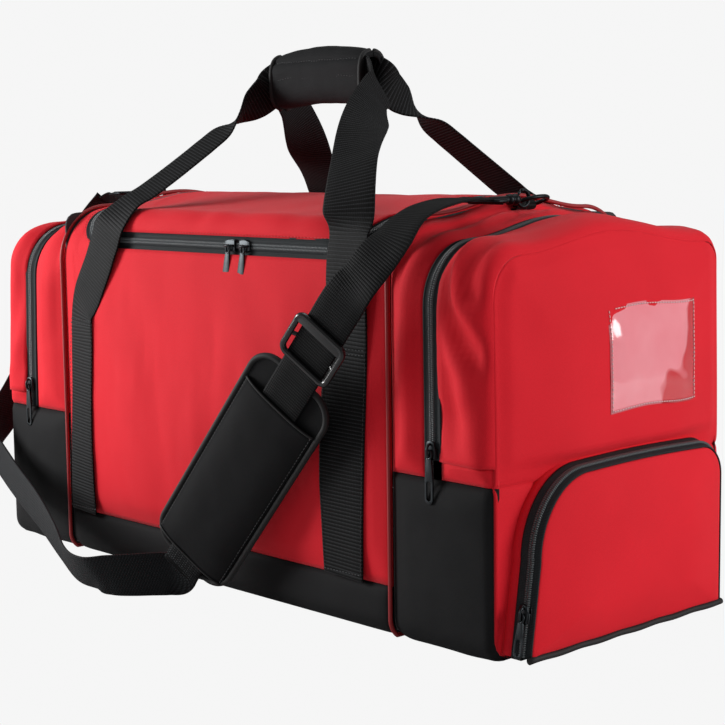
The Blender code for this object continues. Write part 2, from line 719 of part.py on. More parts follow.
def build_ring(side, sign):
    """D-ring whose straight bar lies in a tab sewn into the seam, and the tab itself."""
    bar = Vector((sign * RING_X, 0, RING_Z))
    lean = math.radians(20) if sign > 0 else math.radians(16)
    half, reach = 0.0150, 0.0215
    flat = [(0.0, -half), (0.0, half)]
    for k in range(9):
        angle = math.pi / 2 - k * math.pi / 8
        flat.append((reach - half * 0.72 + half * 0.72 * math.cos(angle), half * math.sin(angle)))
    points = []
    for out, y in flat:
        lift = Vector((sign * out * math.cos(lean), y, out * math.sin(lean)))
        points.append(bar + lift)
    round_wire(f"{side}_d_ring", points, 0.0018, GUNMETAL, pivot=bar)

    seam = sign * (GUSSET_X + 0.0004)
    low = RING_Z - 0.0033
    path = [((seam, 0, low), (0, 1, 0)), ((bar.x - sign * 0.001, 0, low), (0, 1, 0))]
    for k in range(1, 6):
        angle = -math.pi / 2 + k * math.pi / 6
        out, up = 0.0033 * math.cos(angle), 0.0033 * math.sin(angle)
        path.append(((bar.x + sign * out, 0, bar.z + up), (0, 1, 0)))
    path.append(((bar.x - sign * 0.001, 0, RING_Z + 0.0033), (0, 1, 0)))
    path.append(((seam, 0, RING_Z + 0.0022), (0, 1, 0)))
    band(f"{side}_ring_tab", path, 0.0240, 0.0014, WEBBING)


def build_hook(side, wire, along, across):
    """Snap hook: claw round the ring's wire, shank, and eye for the webbing; the gate closes it.

    along points from the ring to the webbing, across lies along the wire.
    """
    along, across = Vector(along), Vector(across)
    up = Vector((0, 0, 1))
    wire = Vector(wire)
    claw_r, bar_r = 0.0068, 0.0017

    def spot(a, u, c=0.0):
        return wire + along * a + up * u + across * c

    claw = []
    for k in range(12):
        angle = math.radians(-20 - k * 25)
        claw.append(spot(claw_r * math.cos(angle), claw_r * math.sin(angle)))
    hook = round_wire(f"{side}_hook_claw", claw, bar_r, GUNMETAL, cyclic=False, pivot=wire)
    cols = [-0.0225, -0.0200, -0.0050, 0.0050, 0.0200, 0.0225]
    rows = [0.0050, 0.0400, 0.0430, 0.0520, 0.0555]

    def keep(i, j):
        return i == 2 if j == 0 else (j != 2 or i in (0, 4))

    def point(c, a, layer):
        return spot(a, -0.0006 + (layer * 2 - 1) * 0.0016, c)

    frame = cell_solid(f"{side}_hook", cols, rows, keep, point, GUNMETAL, pivot=wire)
    mesh_claw = mesh_copy(hook)
    combine(frame, mesh_claw, "UNION")
    start = spot(claw_r * math.cos(math.radians(30)), claw_r * math.sin(math.radians(30)))
    stop = spot(claw_r * math.cos(math.radians(62)), claw_r * math.sin(math.radians(62)))
    trim = (stop - start).normalized() * 0.0004
    round_wire(
        f"{side}_hook_gate", [start + trim, stop - trim], 0.0012, GUNMETAL, cyclic=False, pivot=start
    )


def mesh_copy(curve_object):
    """Mesh twin of a curve object, which is then removed, for use in a Boolean."""
    graph = bpy.context.evaluated_depsgraph_get()
    mesh = bpy.data.meshes.new_from_object(curve_object.evaluated_get(graph))
    work = bmesh.new()
    work.from_mesh(mesh)
    bmesh.ops.remove_doubles(work, verts=work.verts, dist=1e-6)
    bmesh.ops.recalc_face_normals(work, faces=work.faces)
    work.to_mesh(mesh)
    work.free()
    twin = bpy.data.objects.new(curve_object.name + "_mesh", mesh)
    twin.location = curve_object.location
    bpy.context.scene.collection.objects.link(twin)
    bpy.data.objects.remove(curve_object)
    return twin


def main():
    build_main()
    build_lid()
    build_end("left", -1, LEFT_ZIP_X)
    right_fold = build_end("right", 1, RIGHT_ZIP_X)
    build_window(right_fold)
    _, pocket_zip_x = build_pocket()
    build_sliders(pocket_zip_x)
    build_handle("front", -1)
    build_handle("back", 1)
    build_strap()
    build_ring("right", 1)
    build_ring("left", -1)
    build_hook("right", STRAP_PIVOT, (0, -1, 0), (1, 0, 0))
    left_wire = (-(RING_X + 0.0205), 0, RING_Z + 0.0060)
    build_hook("left", left_wire, (-1, 0, 0), (0, 1, 0))


main()
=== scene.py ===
"""Looks of the hockey equipment bag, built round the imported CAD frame.

Metres, +Z up, the same frame as the CAD: X runs along the bag, the strap side faces -Y and the
end with the small pocket faces +X.
"""

import json
import math

import bmesh
import bpy
from mathutils import Matrix, Vector, geometry, noise


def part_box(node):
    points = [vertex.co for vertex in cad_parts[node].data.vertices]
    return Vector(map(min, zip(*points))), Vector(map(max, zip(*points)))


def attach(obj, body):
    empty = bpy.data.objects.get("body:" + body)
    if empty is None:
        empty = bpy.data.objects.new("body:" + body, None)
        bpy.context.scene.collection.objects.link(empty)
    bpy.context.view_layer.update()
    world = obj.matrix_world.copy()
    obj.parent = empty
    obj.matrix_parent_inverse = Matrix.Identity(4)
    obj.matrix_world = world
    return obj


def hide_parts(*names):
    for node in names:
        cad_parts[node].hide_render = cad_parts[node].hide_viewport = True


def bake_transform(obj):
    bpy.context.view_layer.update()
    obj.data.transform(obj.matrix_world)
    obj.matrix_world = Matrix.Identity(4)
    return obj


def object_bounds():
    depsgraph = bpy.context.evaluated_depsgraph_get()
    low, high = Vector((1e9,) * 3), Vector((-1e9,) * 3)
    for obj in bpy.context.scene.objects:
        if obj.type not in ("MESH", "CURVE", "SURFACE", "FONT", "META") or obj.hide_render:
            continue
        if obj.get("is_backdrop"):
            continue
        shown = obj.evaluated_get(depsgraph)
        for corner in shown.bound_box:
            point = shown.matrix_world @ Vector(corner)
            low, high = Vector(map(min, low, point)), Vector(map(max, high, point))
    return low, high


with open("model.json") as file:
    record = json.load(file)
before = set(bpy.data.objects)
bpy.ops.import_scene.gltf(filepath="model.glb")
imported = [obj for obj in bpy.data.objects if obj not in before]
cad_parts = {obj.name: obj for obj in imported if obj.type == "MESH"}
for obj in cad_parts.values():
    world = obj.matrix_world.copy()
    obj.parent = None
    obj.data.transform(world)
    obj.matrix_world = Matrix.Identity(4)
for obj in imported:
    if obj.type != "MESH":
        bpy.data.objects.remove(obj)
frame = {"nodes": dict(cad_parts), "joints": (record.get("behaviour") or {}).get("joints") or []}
CAD_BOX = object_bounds()

# Sizes taken from the CAD nodes
HALF_GAP = 0.0003           # from a seam to the edge of the cloth on either side of it
HALF_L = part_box("right_lower_panel")[1].x
HALF_D = -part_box("front_panel")[0].y
SEAM_X = sum(corner.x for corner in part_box("right_divider")) / 2
BASE_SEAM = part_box("base_panel")[1].z + HALF_GAP
END_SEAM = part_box("right_lower_end")[1].z + HALF_GAP
FOLD_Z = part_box("right_end_panel")[0].z - HALF_GAP
RIGHT_ZIP = (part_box("right_zip_inner_tape")[0].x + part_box("right_zip_outer_tape")[1].x) / 2
LEFT_ZIP = -(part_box("left_zip_inner_tape")[1].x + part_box("left_zip_outer_tape")[0].x) / 2
ZIP_X = (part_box("main_zip_body_tape")[1].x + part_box("lid_panel")[1].x) / 2
ZIP_Z = (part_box("main_zip_body_tape")[0].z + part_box("lid_panel")[0].z) / 2
MAIN_EDGE, MAIN_CROWN, MAIN_CORNER = 0.338, 0.012, 0.018
END_EDGE, END_DROP, END_CROWN = 0.324, 0.008, 0.014
SHOULDER = 0.034            # how much rounder the top edge is at the seams than in the middle
END_CORNER = 0.036
BACK_CORNER = 0.022
LOW = 0.018                 # radius of the edge round the floor
LID_END = 0.90
POCKET_DEPTH = 0.0225
WEB_THICK = 0.0020
CLOTH_THICK = 0.0016
RIB_STEP = 0.00075          # length of webbing between two rows of points
RIB_RISE = 0.00022
THREAD_LIFT = 0.0003

JOINTS = {joint["name"]: joint for joint in frame["joints"]}


def pivot(name):
    return Vector(JOINTS[name]["pos_m"])


def clamp(value, low=0.0, high=1.0):
    return max(low, min(high, value))


def smooth(value, low, high):
    share = clamp((value - low) / (high - low))
    return share * share * (3 - 2 * share)


def lerp(a, b, share):
    return a + (b - a) * share


def bump(value, centre, width):
    return math.exp(-(((value - centre) / width) ** 2))


def ripple(x, y, z, scale=1.0):
    """Smooth noise of three octaves, about -1 to 1."""
    return noise.fractal(Vector((x, y, z)) * scale, 1.0, 2.0, 3)


# ---------------------------------------------------------------- materials

class Graph:
    """A node material under construction."""

    def __init__(self, name):
        self.mat = bpy.data.materials.new(name)
        self.mat.use_nodes = True
        self.tree = self.mat.node_tree
        self.shader = self.tree.nodes["Principled BSDF"]

    def node(self, kind, **values):
        made = self.tree.nodes.new("ShaderNode" + kind)
        for key, value in values.items():
            if key in made.inputs:
                self.put(made.inputs[key], value)
            else:
                setattr(made, key, value)
        return made

    def put(self, socket, value):
        if isinstance(value, bpy.types.NodeSocket):
            self.tree.links.new(value, socket)
        else:
            socket.default_value = value

    def math(self, operation, a, b=0.0):
        made = self.tree.nodes.new("ShaderNodeMath")
        made.operation = operation
        self.put(made.inputs[0], a)
        self.put(made.inputs[1], b)
        return made.outputs[0]

    def mix(self, factor, a, b):
        made = self.tree.nodes.new("ShaderNodeMix")
        made.data_type = "RGBA"
        self.put(made.inputs[0], factor)
        self.put(made.inputs[6], a)
        self.put(made.inputs[7], b)
        return made.outputs[2]

    def set(self, **values):
        for key, value in values.items():
            self.put(self.shader.inputs[key.replace("_", " ")], value)

    def uv(self):
        split = self.node("SeparateXYZ", Vector=self.node("UVMap").outputs[0])
        return split.outputs[0], split.outputs[1]

    def wave(self, coordinate, pitch):
        return self.math("SINE", self.math("MULTIPLY", coordinate, 2 * math.pi / pitch))

    def noise(self, scale, detail):
        vector = self.node("TexCoord").outputs["Object"]
        return self.node("TexNoise", Vector=vector, Scale=scale, Detail=detail).outputs[0]

    def relief(self, height, strength, distance):
        made = self.node("Bump", Height=height, Strength=strength, Distance=distance)
        self.put(self.shader.inputs["Normal"], made.outputs[0])


def colour(r, g, b):
    return (r, g, b, 1.0)


def cloth_material(name, dark, light, pitch=0.0011, strength=0.35, sheen=0.0, gloss=0.16):
    """Plain-weave coated polyester: crossed threads, slubs and a soft mottle."""
    g = Graph(name)
    u, v = g.uv()
    warp = g.wave(u, pitch)
    weft = g.wave(v, pitch)
    weave = g.math("MULTIPLY", warp, weft)
    slub = g.noise(900.0, 2.0)
    broad = g.noise(9.0, 4.0)
    fibre = g.math("ADD", g.math("MULTIPLY", weave, 0.18), g.math("MULTIPLY", slub, 0.7))
    share = g.math("ADD", g.math("MULTIPLY", broad, 0.55), g.math("MULTIPLY", fibre, 0.45))
    base = g.mix(g.math("MULTIPLY", share, 1.1), colour(*dark), colour(*light))
    g.set(Base_Color=base, Roughness=0.75, Sheen_Weight=sheen, Sheen_Roughness=0.4)
    g.set(Specular_IOR_Level=gloss)
    height = g.math("ADD", g.math("MULTIPLY", weave, 0.5), g.math("MULTIPLY", slub, 0.8))
    g.relief(height, strength, 0.0004)
    return g.mat


def webbing_material(name, dark, light, rib=0.0030, line=0.5):
    """Heavy webbing: ribs across it with paler threads in between, and a bound edge."""
    g = Graph(name)
    u, v = g.uv()
    ribs = g.math("ABSOLUTE", g.wave(v, rib * 2))
    threads = g.wave(u, 0.0016)
    thin = g.math("POWER", g.math("SUBTRACT", 1.0, ribs), 3.0)
    speck = g.noise(500.0, 2.0)
    share = g.math("MULTIPLY", thin, g.math("ADD", g.math("MULTIPLY", threads, 0.2), line))
    share = g.math("MULTIPLY", share, g.math("ADD", speck, 0.45))
    base = g.mix(share, colour(*dark), colour(*light))
    g.set(Base_Color=base, Roughness=0.66, Specular_IOR_Level=0.14)
    height = g.math("ADD", ribs, g.math("MULTIPLY", threads, 0.25))
    g.relief(height, 0.5, 0.0004)
    return g.mat


def twill_material(name, dark, light):
    """The strap's lighter webbing face, with fine diagonal twill."""
    g = Graph(name)
    u, v = g.uv()
    diagonal = g.wave(g.math("ADD", v, g.math("MULTIPLY", u, 0.8)), 0.0026)
    cross = g.wave(u, 0.0021)
    share = g.math("MULTIPLY", g.math("ADD", g.math("MULTIPLY", diagonal, cross), 0.8), 0.45)
    base = g.mix(share, colour(*dark), colour(*light))
    g.set(Base_Color=base, Roughness=0.64, Specular_IOR_Level=0.14)
    g.relief(g.math("ADD", diagonal, cross), 0.45, 0.0004)
    return g.mat


def metal_material(name, base, rough):
    g = Graph(name)
    worn = g.noise(160.0, 4.0)
    shade = g.mix(worn, colour(*[c * 0.7 for c in base]), colour(*[c * 1.25 for c in base]))
    g.set(Base_Color=shade, Metallic=1.0)
    g.set(Roughness=g.math("ADD", g.math("MULTIPLY", worn, 0.15), rough - 0.05))
    g.relief(g.noise(700.0, 2.0), 0.04, 0.0002)
    return g.mat


def plastic_material(name, base, rough):
    g = Graph(name)
    fine = g.noise(1200.0, 2.0)
    g.set(Base_Color=g.mix(fine, colour(*[c * 0.8 for c in base]), colour(*base)))
    g.set(Roughness=g.math("ADD", g.math("MULTIPLY", fine, 0.1), rough - 0.05))
    g.relief(fine, 0.06, 0.0002)
    return g.mat


def window_material():
    """Clear vinyl over red cloth, with the pale reflection of a softbox and its ragged end."""
    g = Graph("clear_vinyl")
    u, v = g.uv()
    ragged = g.noise(26.0, 1.0)
    edge = g.math("ADD", g.math("MULTIPLY", u, 12.0), g.math("MULTIPLY", ragged, 1.6))
    low = g.math("MULTIPLY", g.math("SUBTRACT", 0.062, v), 7.0)
    lit = g.math("SUBTRACT", 2.16, g.math("ADD", edge, low))
    lit = g.node("Clamp", Value=g.math("MULTIPLY", lit, 9.0)).outputs[0]
    pale = g.mix(g.noise(30.0, 2.0), colour(0.93, 0.34, 0.38), colour(0.86, 0.22, 0.26))
    base = g.mix(lit, colour(0.62, 0.035, 0.045), pale)
    g.set(Base_Color=base, Roughness=0.12, Specular_IOR_Level=0.5, Coat_Weight=0.6)
    g.set(Coat_Roughness=0.05)
    g.relief(g.noise(22.0, 2.0), 0.10, 0.002)
    return g.mat


RED = cloth_material("red_polyester", (0.56, 0.004, 0.012), (0.88, 0.012, 0.028), sheen=0.08,
                     gloss=0.20)
BLACK = cloth_material("black_polyester", (0.003, 0.003, 0.0034), (0.013, 0.013, 0.014))
LINING = cloth_material("grey_lining", (0.03, 0.03, 0.032), (0.06, 0.06, 0.065), strength=0.2)
PADDING = cloth_material("pad_fabric", (0.0025, 0.0025, 0.003), (0.008, 0.008, 0.009), 0.0009)
GRIP = cloth_material("grip_fabric", (0.004, 0.004, 0.0045), (0.014, 0.0145, 0.016), 0.0009)
TAPE = webbing_material("zip_tape", (0.016, 0.019, 0.021), (0.070, 0.080, 0.086), 0.0012, 0.40)
WEBBING = webbing_material("black_webbing", (0.002, 0.002, 0.0022), (0.085, 0.09, 0.096), 0.0031, 0.40)
STRAP_WEB = webbing_material("strap_webbing", (0.002, 0.002, 0.0022), (0.06, 0.064, 0.068), 0.0024, 0.35)
TWILL = twill_material("strap_twill", (0.0025, 0.0025, 0.003), (0.030, 0.033, 0.036))
COIL = plastic_material("coil_teeth", (0.085, 0.095, 0.10), 0.36)
PIPING = plastic_material("red_piping", (0.34, 0.006, 0.010), 0.50)
BINDING = plastic_material("black_binding", (0.003, 0.003, 0.0035), 0.7)
GUNMETAL = metal_material("gunmetal", (0.032, 0.036, 0.039), 0.36)
SATIN = metal_material("dark_satin", (0.022, 0.024, 0.026), 0.40)
PLASTIC = plastic_material("black_plastic", (0.012, 0.012, 0.013), 0.22)
VINYL = window_material()
THREAD_RED = plastic_material("red_thread", (0.75, 0.03, 0.04), 0.6)
THREAD_DARK = plastic_material("dark_thread", (0.05, 0.052, 0.055), 0.6)
THREAD_PALE = plastic_material("pale_thread", (0.92, 0.62, 0.64), 0.6)
BOARD = plastic_material("grey_board", (0.25, 0.25, 0.26), 0.6)


# ---------------------------------------------------------------- mesh helpers

class Build:
    """Vertices, faces, UVs in metres and material indices of one piece."""

    def __init__(self):
        self.verts, self.faces, self.uvs, self.picks = [], [], [], []

    def add(self, verts, faces, uvs=None, pick=0):
        """uvs is one (u, v) for each of verts."""
        uvs = uvs or [(0.0, 0.0)] * len(verts)
        start = len(self.verts)
        self.verts += [tuple(v) for v in verts]
        for face in faces:
            self.faces.append([start + k for k in face])
            self.uvs += [uvs[k] for k in face]
            self.picks.append(pick)

    def make(self, name, mats, body=None, nodes=()):
        """The piece as an object that rides on body and stands for the CAD nodes."""
        mesh = bpy.data.meshes.new(name)
        mesh.from_pydata(self.verts, [], self.faces)
        layer = mesh.uv_layers.new(name="UVMap")
        layer.data.foreach_set("uv", [c for uv in self.uvs for c in uv])
        mesh.polygons.foreach_set("material_index", self.picks)
        mesh.polygons.foreach_set("use_smooth", [True] * len(self.faces))
        for mat in mats:
            mesh.materials.append(mat)
        mesh.update()
        work = bmesh.new()
        work.from_mesh(mesh)
        bmesh.ops.recalc_face_normals(work, faces=work.faces)
        work.to_mesh(mesh)
        work.free()
        obj = bpy.data.objects.new(name, mesh)
        bpy.context.scene.collection.objects.link(obj)
        if body:
            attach(obj, body)
        if nodes:
            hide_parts(*nodes)
        return obj


def distances(points):
    """Length along points up to each of them."""
    run = [0.0]
    for a, b in zip(points, points[1:]):
        run.append(run[-1] + (b - a).length)
    return run


def paces(points, spacing, first):
    """(index, share of the way to the next point, direction) at every spacing along points."""
    run, at = 0.0, first
    for k, (a, b) in enumerate(zip(points, points[1:])):
        part = (b - a).length
        while part > 1e-9 and at <= run + part:
            yield k, (at - run) / part, (b - a).normalized()
            at += spacing
        run += part


def ring_faces(rings, count, start=0, closed=False):
    """Faces between rings of count points each, numbered one ring after another."""
    faces = []
    for k in range(rings if closed else rings - 1):
        a, b = start + k * count, start + (k + 1) % rings * count
        for c in range(count):
            d = (c + 1) % count
            faces.append([a + c, a + d, b + d, b + c])
    return faces


def sheet(build, rows, cols, at, keep=None, picks=(0, 0, 0)):
    """Closed shell; at(i, j) gives its outer point, inner point and UV.
    picks holds the materials of its outside, inside and edge."""
    outer, inner, uvs = zip(*(at(i, j) for i in range(rows) for j in range(cols)))
    cells = {
        (i, j)
        for i in range(rows - 1)
        for j in range(cols - 1)
        if keep is None or keep(i, j)
    }
    count = rows * cols

    def spot(i, j):
        return i * cols + j

    front, back, edge = [], [], []
    for i, j in sorted(cells):
        ring = [(i, j), (i + 1, j), (i + 1, j + 1), (i, j + 1)]
        front.append([spot(*c) for c in ring])
        back.append([count + spot(*c) for c in reversed(ring)])
        for k, other in enumerate(((i, j - 1), (i + 1, j), (i, j + 1), (i - 1, j))):
            if other not in cells:
                a, b = spot(*ring[k]), spot(*ring[(k + 1) % 4])
                edge.append([b, a, count + a, count + b])
    used = sorted({k for face in front + back + edge for k in face})
    start = len(build.verts)
    place = {k: start + n for n, k in enumerate(used)}
    both = outer + inner
    build.verts += [tuple(both[k]) for k in used]
    for faces, pick in zip((front, back, edge), picks):
        for face in faces:
            build.faces.append([place[k] for k in face])
            build.uvs += [uvs[k % count] for k in face]
            build.picks.append(pick)


def cushion(build, outline, rings, at, middles):
    """Closed two-sided form: the outline drawn in by each of rings to a middle point.
    at(layer, share, a, b) gives a point and its UV; middles holds those of the two middles."""
    count = len(outline)
    per = len(rings) * count + 1
    spots, faces = [], []
    for layer, middle in enumerate(middles):
        spots += [at(layer, share, a, b) for share in rings for a, b in outline]
        spots.append(middle)
        first = layer * per
        faces += ring_faces(len(rings), count, first)
        last = first + per - 1 - count
        faces += [[last + k, last + (k + 1) % count, first + per - 1] for k in range(count)]
    faces += [[k, (k + 1) % count, per + (k + 1) % count, per + k] for k in range(count)]
    verts, uvs = zip(*spots)
    build.add(verts, faces, uvs)


def tube(build, path, radius, sides=8, closed=False, pick=0, squash=1.0, up=None):
    """Round bar swept along path; squash flattens it along the frame's second axis."""
    points = [Vector(p) for p in path]
    count = len(points)
    verts, uvs = [], []
    normal = Vector(up) if up else None
    for k, (p, run) in enumerate(zip(points, distances(points))):
        before = points[k - 1] if k or closed else p
        after = points[(k + 1) % count] if k < count - 1 or closed else p
        along = (after - before).normalized()
        if normal is None:
            normal = along.orthogonal()
        normal = (normal - along * normal.dot(along)).normalized()
        side = along.cross(normal)
        r = radius[k] if isinstance(radius, (list, tuple)) else radius
        for s in range(sides):
            angle = 2 * math.pi * s / sides
            verts.append(p + side * r * math.cos(angle) + normal * r * squash * math.sin(angle))
            uvs.append((angle * r, run))
    faces = ring_faces(count, sides, closed=closed)
    if not closed:
        faces.append(list(range(sides))[::-1])
        faces.append([(count - 1) * sides + s for s in range(sides)])
    build.add(verts, faces, uvs, pick)


def spline(points, step):
    """Catmull-Rom through points (any vectors), resampled about every step of their first three."""
    points = [list(p) for p in points]
    size = len(points[0])
    out = []
    for k in range(len(points) - 1):
        p0 = points[max(k - 1, 0)]
        p1, p2 = points[k], points[k + 1]
        p3 = points[min(k + 2, len(points) - 1)]
        length = math.dist(p1[:3], p2[:3])
        count = max(1, round(length / step))
        for n in range(count):
            t = n / count
            row = []
            for c in range(size):
                a = 2 * p1[c]
                b = p2[c] - p0[c]
                d = 2 * p0[c] - 5 * p1[c] + 4 * p2[c] - p3[c]
                e = -p0[c] + 3 * p1[c] - 3 * p2[c] + p3[c]
                row.append(0.5 * (a + b * t + d * t * t + e * t**3))
            out.append(row)
    out.append(points[-1])
    return out


def webbing(name, stations, mat, body=None, nodes=(), rib=0.0024, thick=WEB_THICK):
    """Ribbed webbing along stations of (centre, across, width); ribs are real relief."""
    rows = []
    before = None
    for centre, across, wide in stations:
        across = Vector(across).normalized()
        if before and across.dot(before) < 0:
            across.negate()
        before = across
        rows.append([*centre, *across, wide])
    rows = spline(rows, RIB_STEP)
    upper = [(-1.0, -0.35), (-0.985, 0.30), (-0.93, 0.50), (-0.5, 0.46), (0.0, 0.46)]
    upper += [(0.5, 0.46), (0.93, 0.50), (0.985, 0.30), (1.0, -0.35)]
    profile = upper + [(0.93, -0.5), (0.5, -0.46), (0.0, -0.46), (-0.5, -0.46), (-0.93, -0.5)]
    count = len(profile)
    centres = [Vector(row[:3]) for row in rows]
    verts, uvs = [], []
    for k, (row, centre, run) in enumerate(zip(rows, centres, distances(centres))):
        along = (centres[min(k + 2, len(rows) - 1)] - centres[max(k - 2, 0)]).normalized()
        across = Vector(row[3:6])
        across = (across - along * across.dot(along)).normalized()
        out = along.cross(across).normalized()
        ridge = RIB_RISE * (abs(math.sin(math.pi * run / rib)) - 0.5)
        for a, h in profile:
            lift = h * thick + (ridge if abs(a) < 0.95 else 0.0) * (1 if h > 0 else -1)
            verts.append(centre + across * (a * row[6] / 2) + out * lift)
            uvs.append((a * row[6] / 2, run))
    faces = ring_faces(len(rows), count)
    faces.append(list(range(count))[::-1])
    faces.append([(len(rows) - 1) * count + c for c in range(count)])
    build = Build()
    build.add(verts, faces, uvs)
    return build.make(name, [mat], body, nodes)


def stitches(build, path, spacing, length, radius, pick=0):
    """Row of thread dashes along path, a list of (point, normal)."""
    points = [Vector(p) for p, _ in path]
    normals = [Vector(n) for _, n in path]
    for k, share, along in paces(points, spacing, spacing / 2):
        normal = normals[k].lerp(normals[k + 1], share).normalized()
        side = along.cross(normal).normalized()
        centre = points[k].lerp(points[k + 1], share) + normal * THREAD_LIFT
        verts = []
        for a, r in ((-0.5, 0.45), (-0.25, 1.0), (0.25, 1.0), (0.5, 0.45)):
            for c, s in ((1, 0), (0, 1), (-1, 0), (0, -1)):
                spot = centre + along * (a * length)
                verts.append(spot + side * c * r * radius + normal * s * r * radius)
        build.add(verts, [[3, 2, 1, 0], [12, 13, 14, 15]] + ring_faces(4, 4), pick=pick)


# ---------------------------------------------------------------- the bag's section

def sizes(x, back=False):
    """Edge height, crown and corner radius of the section at x; the ends are squarer at the back."""
    if abs(x) <= SEAM_X:
        return MAIN_EDGE, MAIN_CROWN, MAIN_CORNER + SHOULDER * smooth(abs(x), 0.120, 0.215)
    along = (abs(x) - SEAM_X) / (HALF_L - SEAM_X)
    seam_corner = MAIN_CORNER + SHOULDER
    zip_x = RIGHT_ZIP if x > 0 else LEFT_ZIP
    if back:
        corner = lerp(seam_corner, BACK_CORNER, smooth(along, 0.0, 0.6))
    else:
        corner = lerp(seam_corner, END_CORNER, along) + 0.006 * bump(abs(x), zip_x, 0.030)
    climb = (MAIN_EDGE - END_EDGE) * (1 - smooth(abs(x) - SEAM_X, 0.0, 0.011))
    return END_EDGE - END_DROP * along + climb, END_CROWN, corner


def height_to_u(x, z, back=False):
    edge, _, corner = sizes(x, back)
    start = edge - corner
    if z <= start:
        return (z - LOW) / (start - LOW)
    return 1.0 + math.asin(clamp((z - start) / corner)) / (math.pi / 2)


def run_to_t(x, run):
    """Row at a distance run up the section from the main zip's height."""
    edge, _, corner = sizes(x)
    start = edge - corner
    if ZIP_Z + run <= start:
        return height_to_u(x, ZIP_Z + run)
    angle = 0.0
    if ZIP_Z < start:
        run -= start - ZIP_Z
    else:
        angle = math.asin((ZIP_Z - start) / corner)
    if run < corner * (math.pi / 2 - angle):
        return 1.0 + (angle + run / corner) / (math.pi / 2)
    run -= corner * (math.pi / 2 - angle)
    return 2.0 + 0.5 * run / (HALF_D - corner)


def end_lean(x, z):
    """The left end sags inwards towards its top; the right one hardly does."""
    share = clamp((abs(x) - SEAM_X) / (HALF_L - SEAM_X))
    return share * (0.012 if x < 0 else -0.003) * smooth(z, 0.13, 0.34)


def section(x, t, off=0.0):
    """(point, normal) of the surface at x. t runs round: -2 floor middle, -1 and 0 floor corner,
    1 and 2 front top corner, 2.5 crown, then the same down the back to 7."""
    edge, crown, corner = sizes(x, t >= 2.5)
    side = -1.0 if t < 2.5 else 1.0
    u = t if t < 2.5 else 5.0 - t
    if u <= -1.0:
        y, z, ny, nz = (HALF_D - LOW) * (u + 2.0), 0.0, 0.0, -1.0
    elif u <= 0.0:
        angle = -u * math.pi / 2
        ny, nz = math.cos(angle), -math.sin(angle)
        y, z = HALF_D - LOW + LOW * ny, LOW + LOW * nz
    elif u <= 1.0:
        y, z, ny, nz = HALF_D, LOW + u * (edge - corner - LOW), 1.0, 0.0
    elif u <= 2.0:
        angle = (u - 1.0) * math.pi / 2
        ny, nz = math.cos(angle), math.sin(angle)
        y, z = HALF_D - corner + corner * ny, edge - corner + corner * nz
    else:
        value = clamp(1.0 - 2.0 * (u - 2.0))
        y = value * (HALF_D - corner)
        z = edge + crown * 0.5 * (1 + math.cos(math.pi * value))
        slope = 0.5 * crown * math.pi * math.sin(math.pi * value) / (HALF_D - corner)
        size = math.hypot(slope, 1.0)
        ny, nz = slope / size, 1.0 / size
    normal = Vector((0.0, side * ny, nz))
    return Vector((x + end_lean(x, z), side * y, z)) + normal * off, normal


def at_height(z, back=False):
    """Row at a fixed height on the front or the back."""
    if back:
        return lambda x: 5.0 - height_to_u(x, z, True)
    return lambda x: height_to_u(x, z)


def between(first, last, steps):
    """Rows from one row to another; each is a function of x."""
    return [
        (lambda x, k=k: lerp(first(x), last(x), k / steps)) for k in range(steps + 1)
    ]


def turn(value):
    return lambda x: value


def over_between(first, last, step=0.006):
    """Rows from a height row on the front, over the top, to a height row on the back."""
    x = SEAM_X
    rows = between(first, turn(1.0), max(1, round((1.0 - first(x)) * 0.30 / step)))
    rows += between(turn(1.0), turn(2.0), 12)[1:]
    rows += between(turn(2.0), turn(3.0), round(0.22 / step))[1:]
    rows += between(turn(3.0), turn(4.0), 12)[1:]
    rows += between(turn(4.0), last, max(1, round((last(x) - 4.0) * 0.30 / step)))[1:]
    return rows


def columns(low, high, step=0.006, extra=()):
    count = max(1, math.ceil((high - low) / step))
    found = [lerp(low, high, k / count) for k in range(count + 1)]
    for spot in extra:
        near = min(range(len(found)), key=lambda k: abs(found[k] - spot))
        found[near] = spot
    return found


def seam_dip(distance):
    """How far a panel turns in beside a seam."""
    return -0.0026 * math.exp(-distance / 0.0045)


def panel(name, nodes, xs, rows, puff, body="bag_body", cloth=RED, keep=None, dips=(1, 1, 1, 1),
          shift=None):
    """Cloth panel on the bag's surface. puff(x, s, a, p) gives its relief: s is the distance up
    from its first row, a the share of the way across it and p the point. dips says which of its
    four edges turn in at a seam: first and last x, first and last row."""
    middle = (xs[0] + xs[-1]) / 2
    run = distances([section(middle, row(middle))[0] for row in rows])
    total, wide = run[-1], xs[-1] - xs[0]

    def at(i, j):
        x = xs[i]
        base, normal = section(x, rows[j](x))
        gaps = [x - xs[0], xs[-1] - x, run[j], total - run[j]]
        gaps = [gap for gap, on in zip(gaps, dips) if on]
        relief = puff(x, run[j], (x - xs[0]) / wide, base)
        if gaps:
            nearest = min(gaps)
            relief = relief * smooth(nearest, 0.0, 0.02) + seam_dip(nearest)
        if shift:
            relief += shift(x)
        return base + normal * relief, base + normal * (relief - CLOTH_THICK), (x, run[j])

    build = Build()
    sheet(build, len(xs), len(rows), at, keep, (0, 1, 0))
    return build.make(name, [cloth, LINING], body, nodes)


# ---------------------------------------------------------------- relief of the cloth

def main_relief(x, z):
    """Fullness of the front and back panels, and the soft drags in them."""
    rise = math.sin(math.pi * clamp((z - 0.030) / 0.285)) ** 0.8
    full = 0.0110 * rise * (1 - abs(x / 0.232) ** 3.4)
    drag = 0.0024 * ripple(x * 1.3, 0.3, z * 0.45, 15.0)
    fold = 0.0016 * math.sin(x * 70.0 + z * 26.0) * bump(z, 0.27, 0.05) * bump(abs(x), 0.1, 0.09)
    return full + (drag + fold) * rise


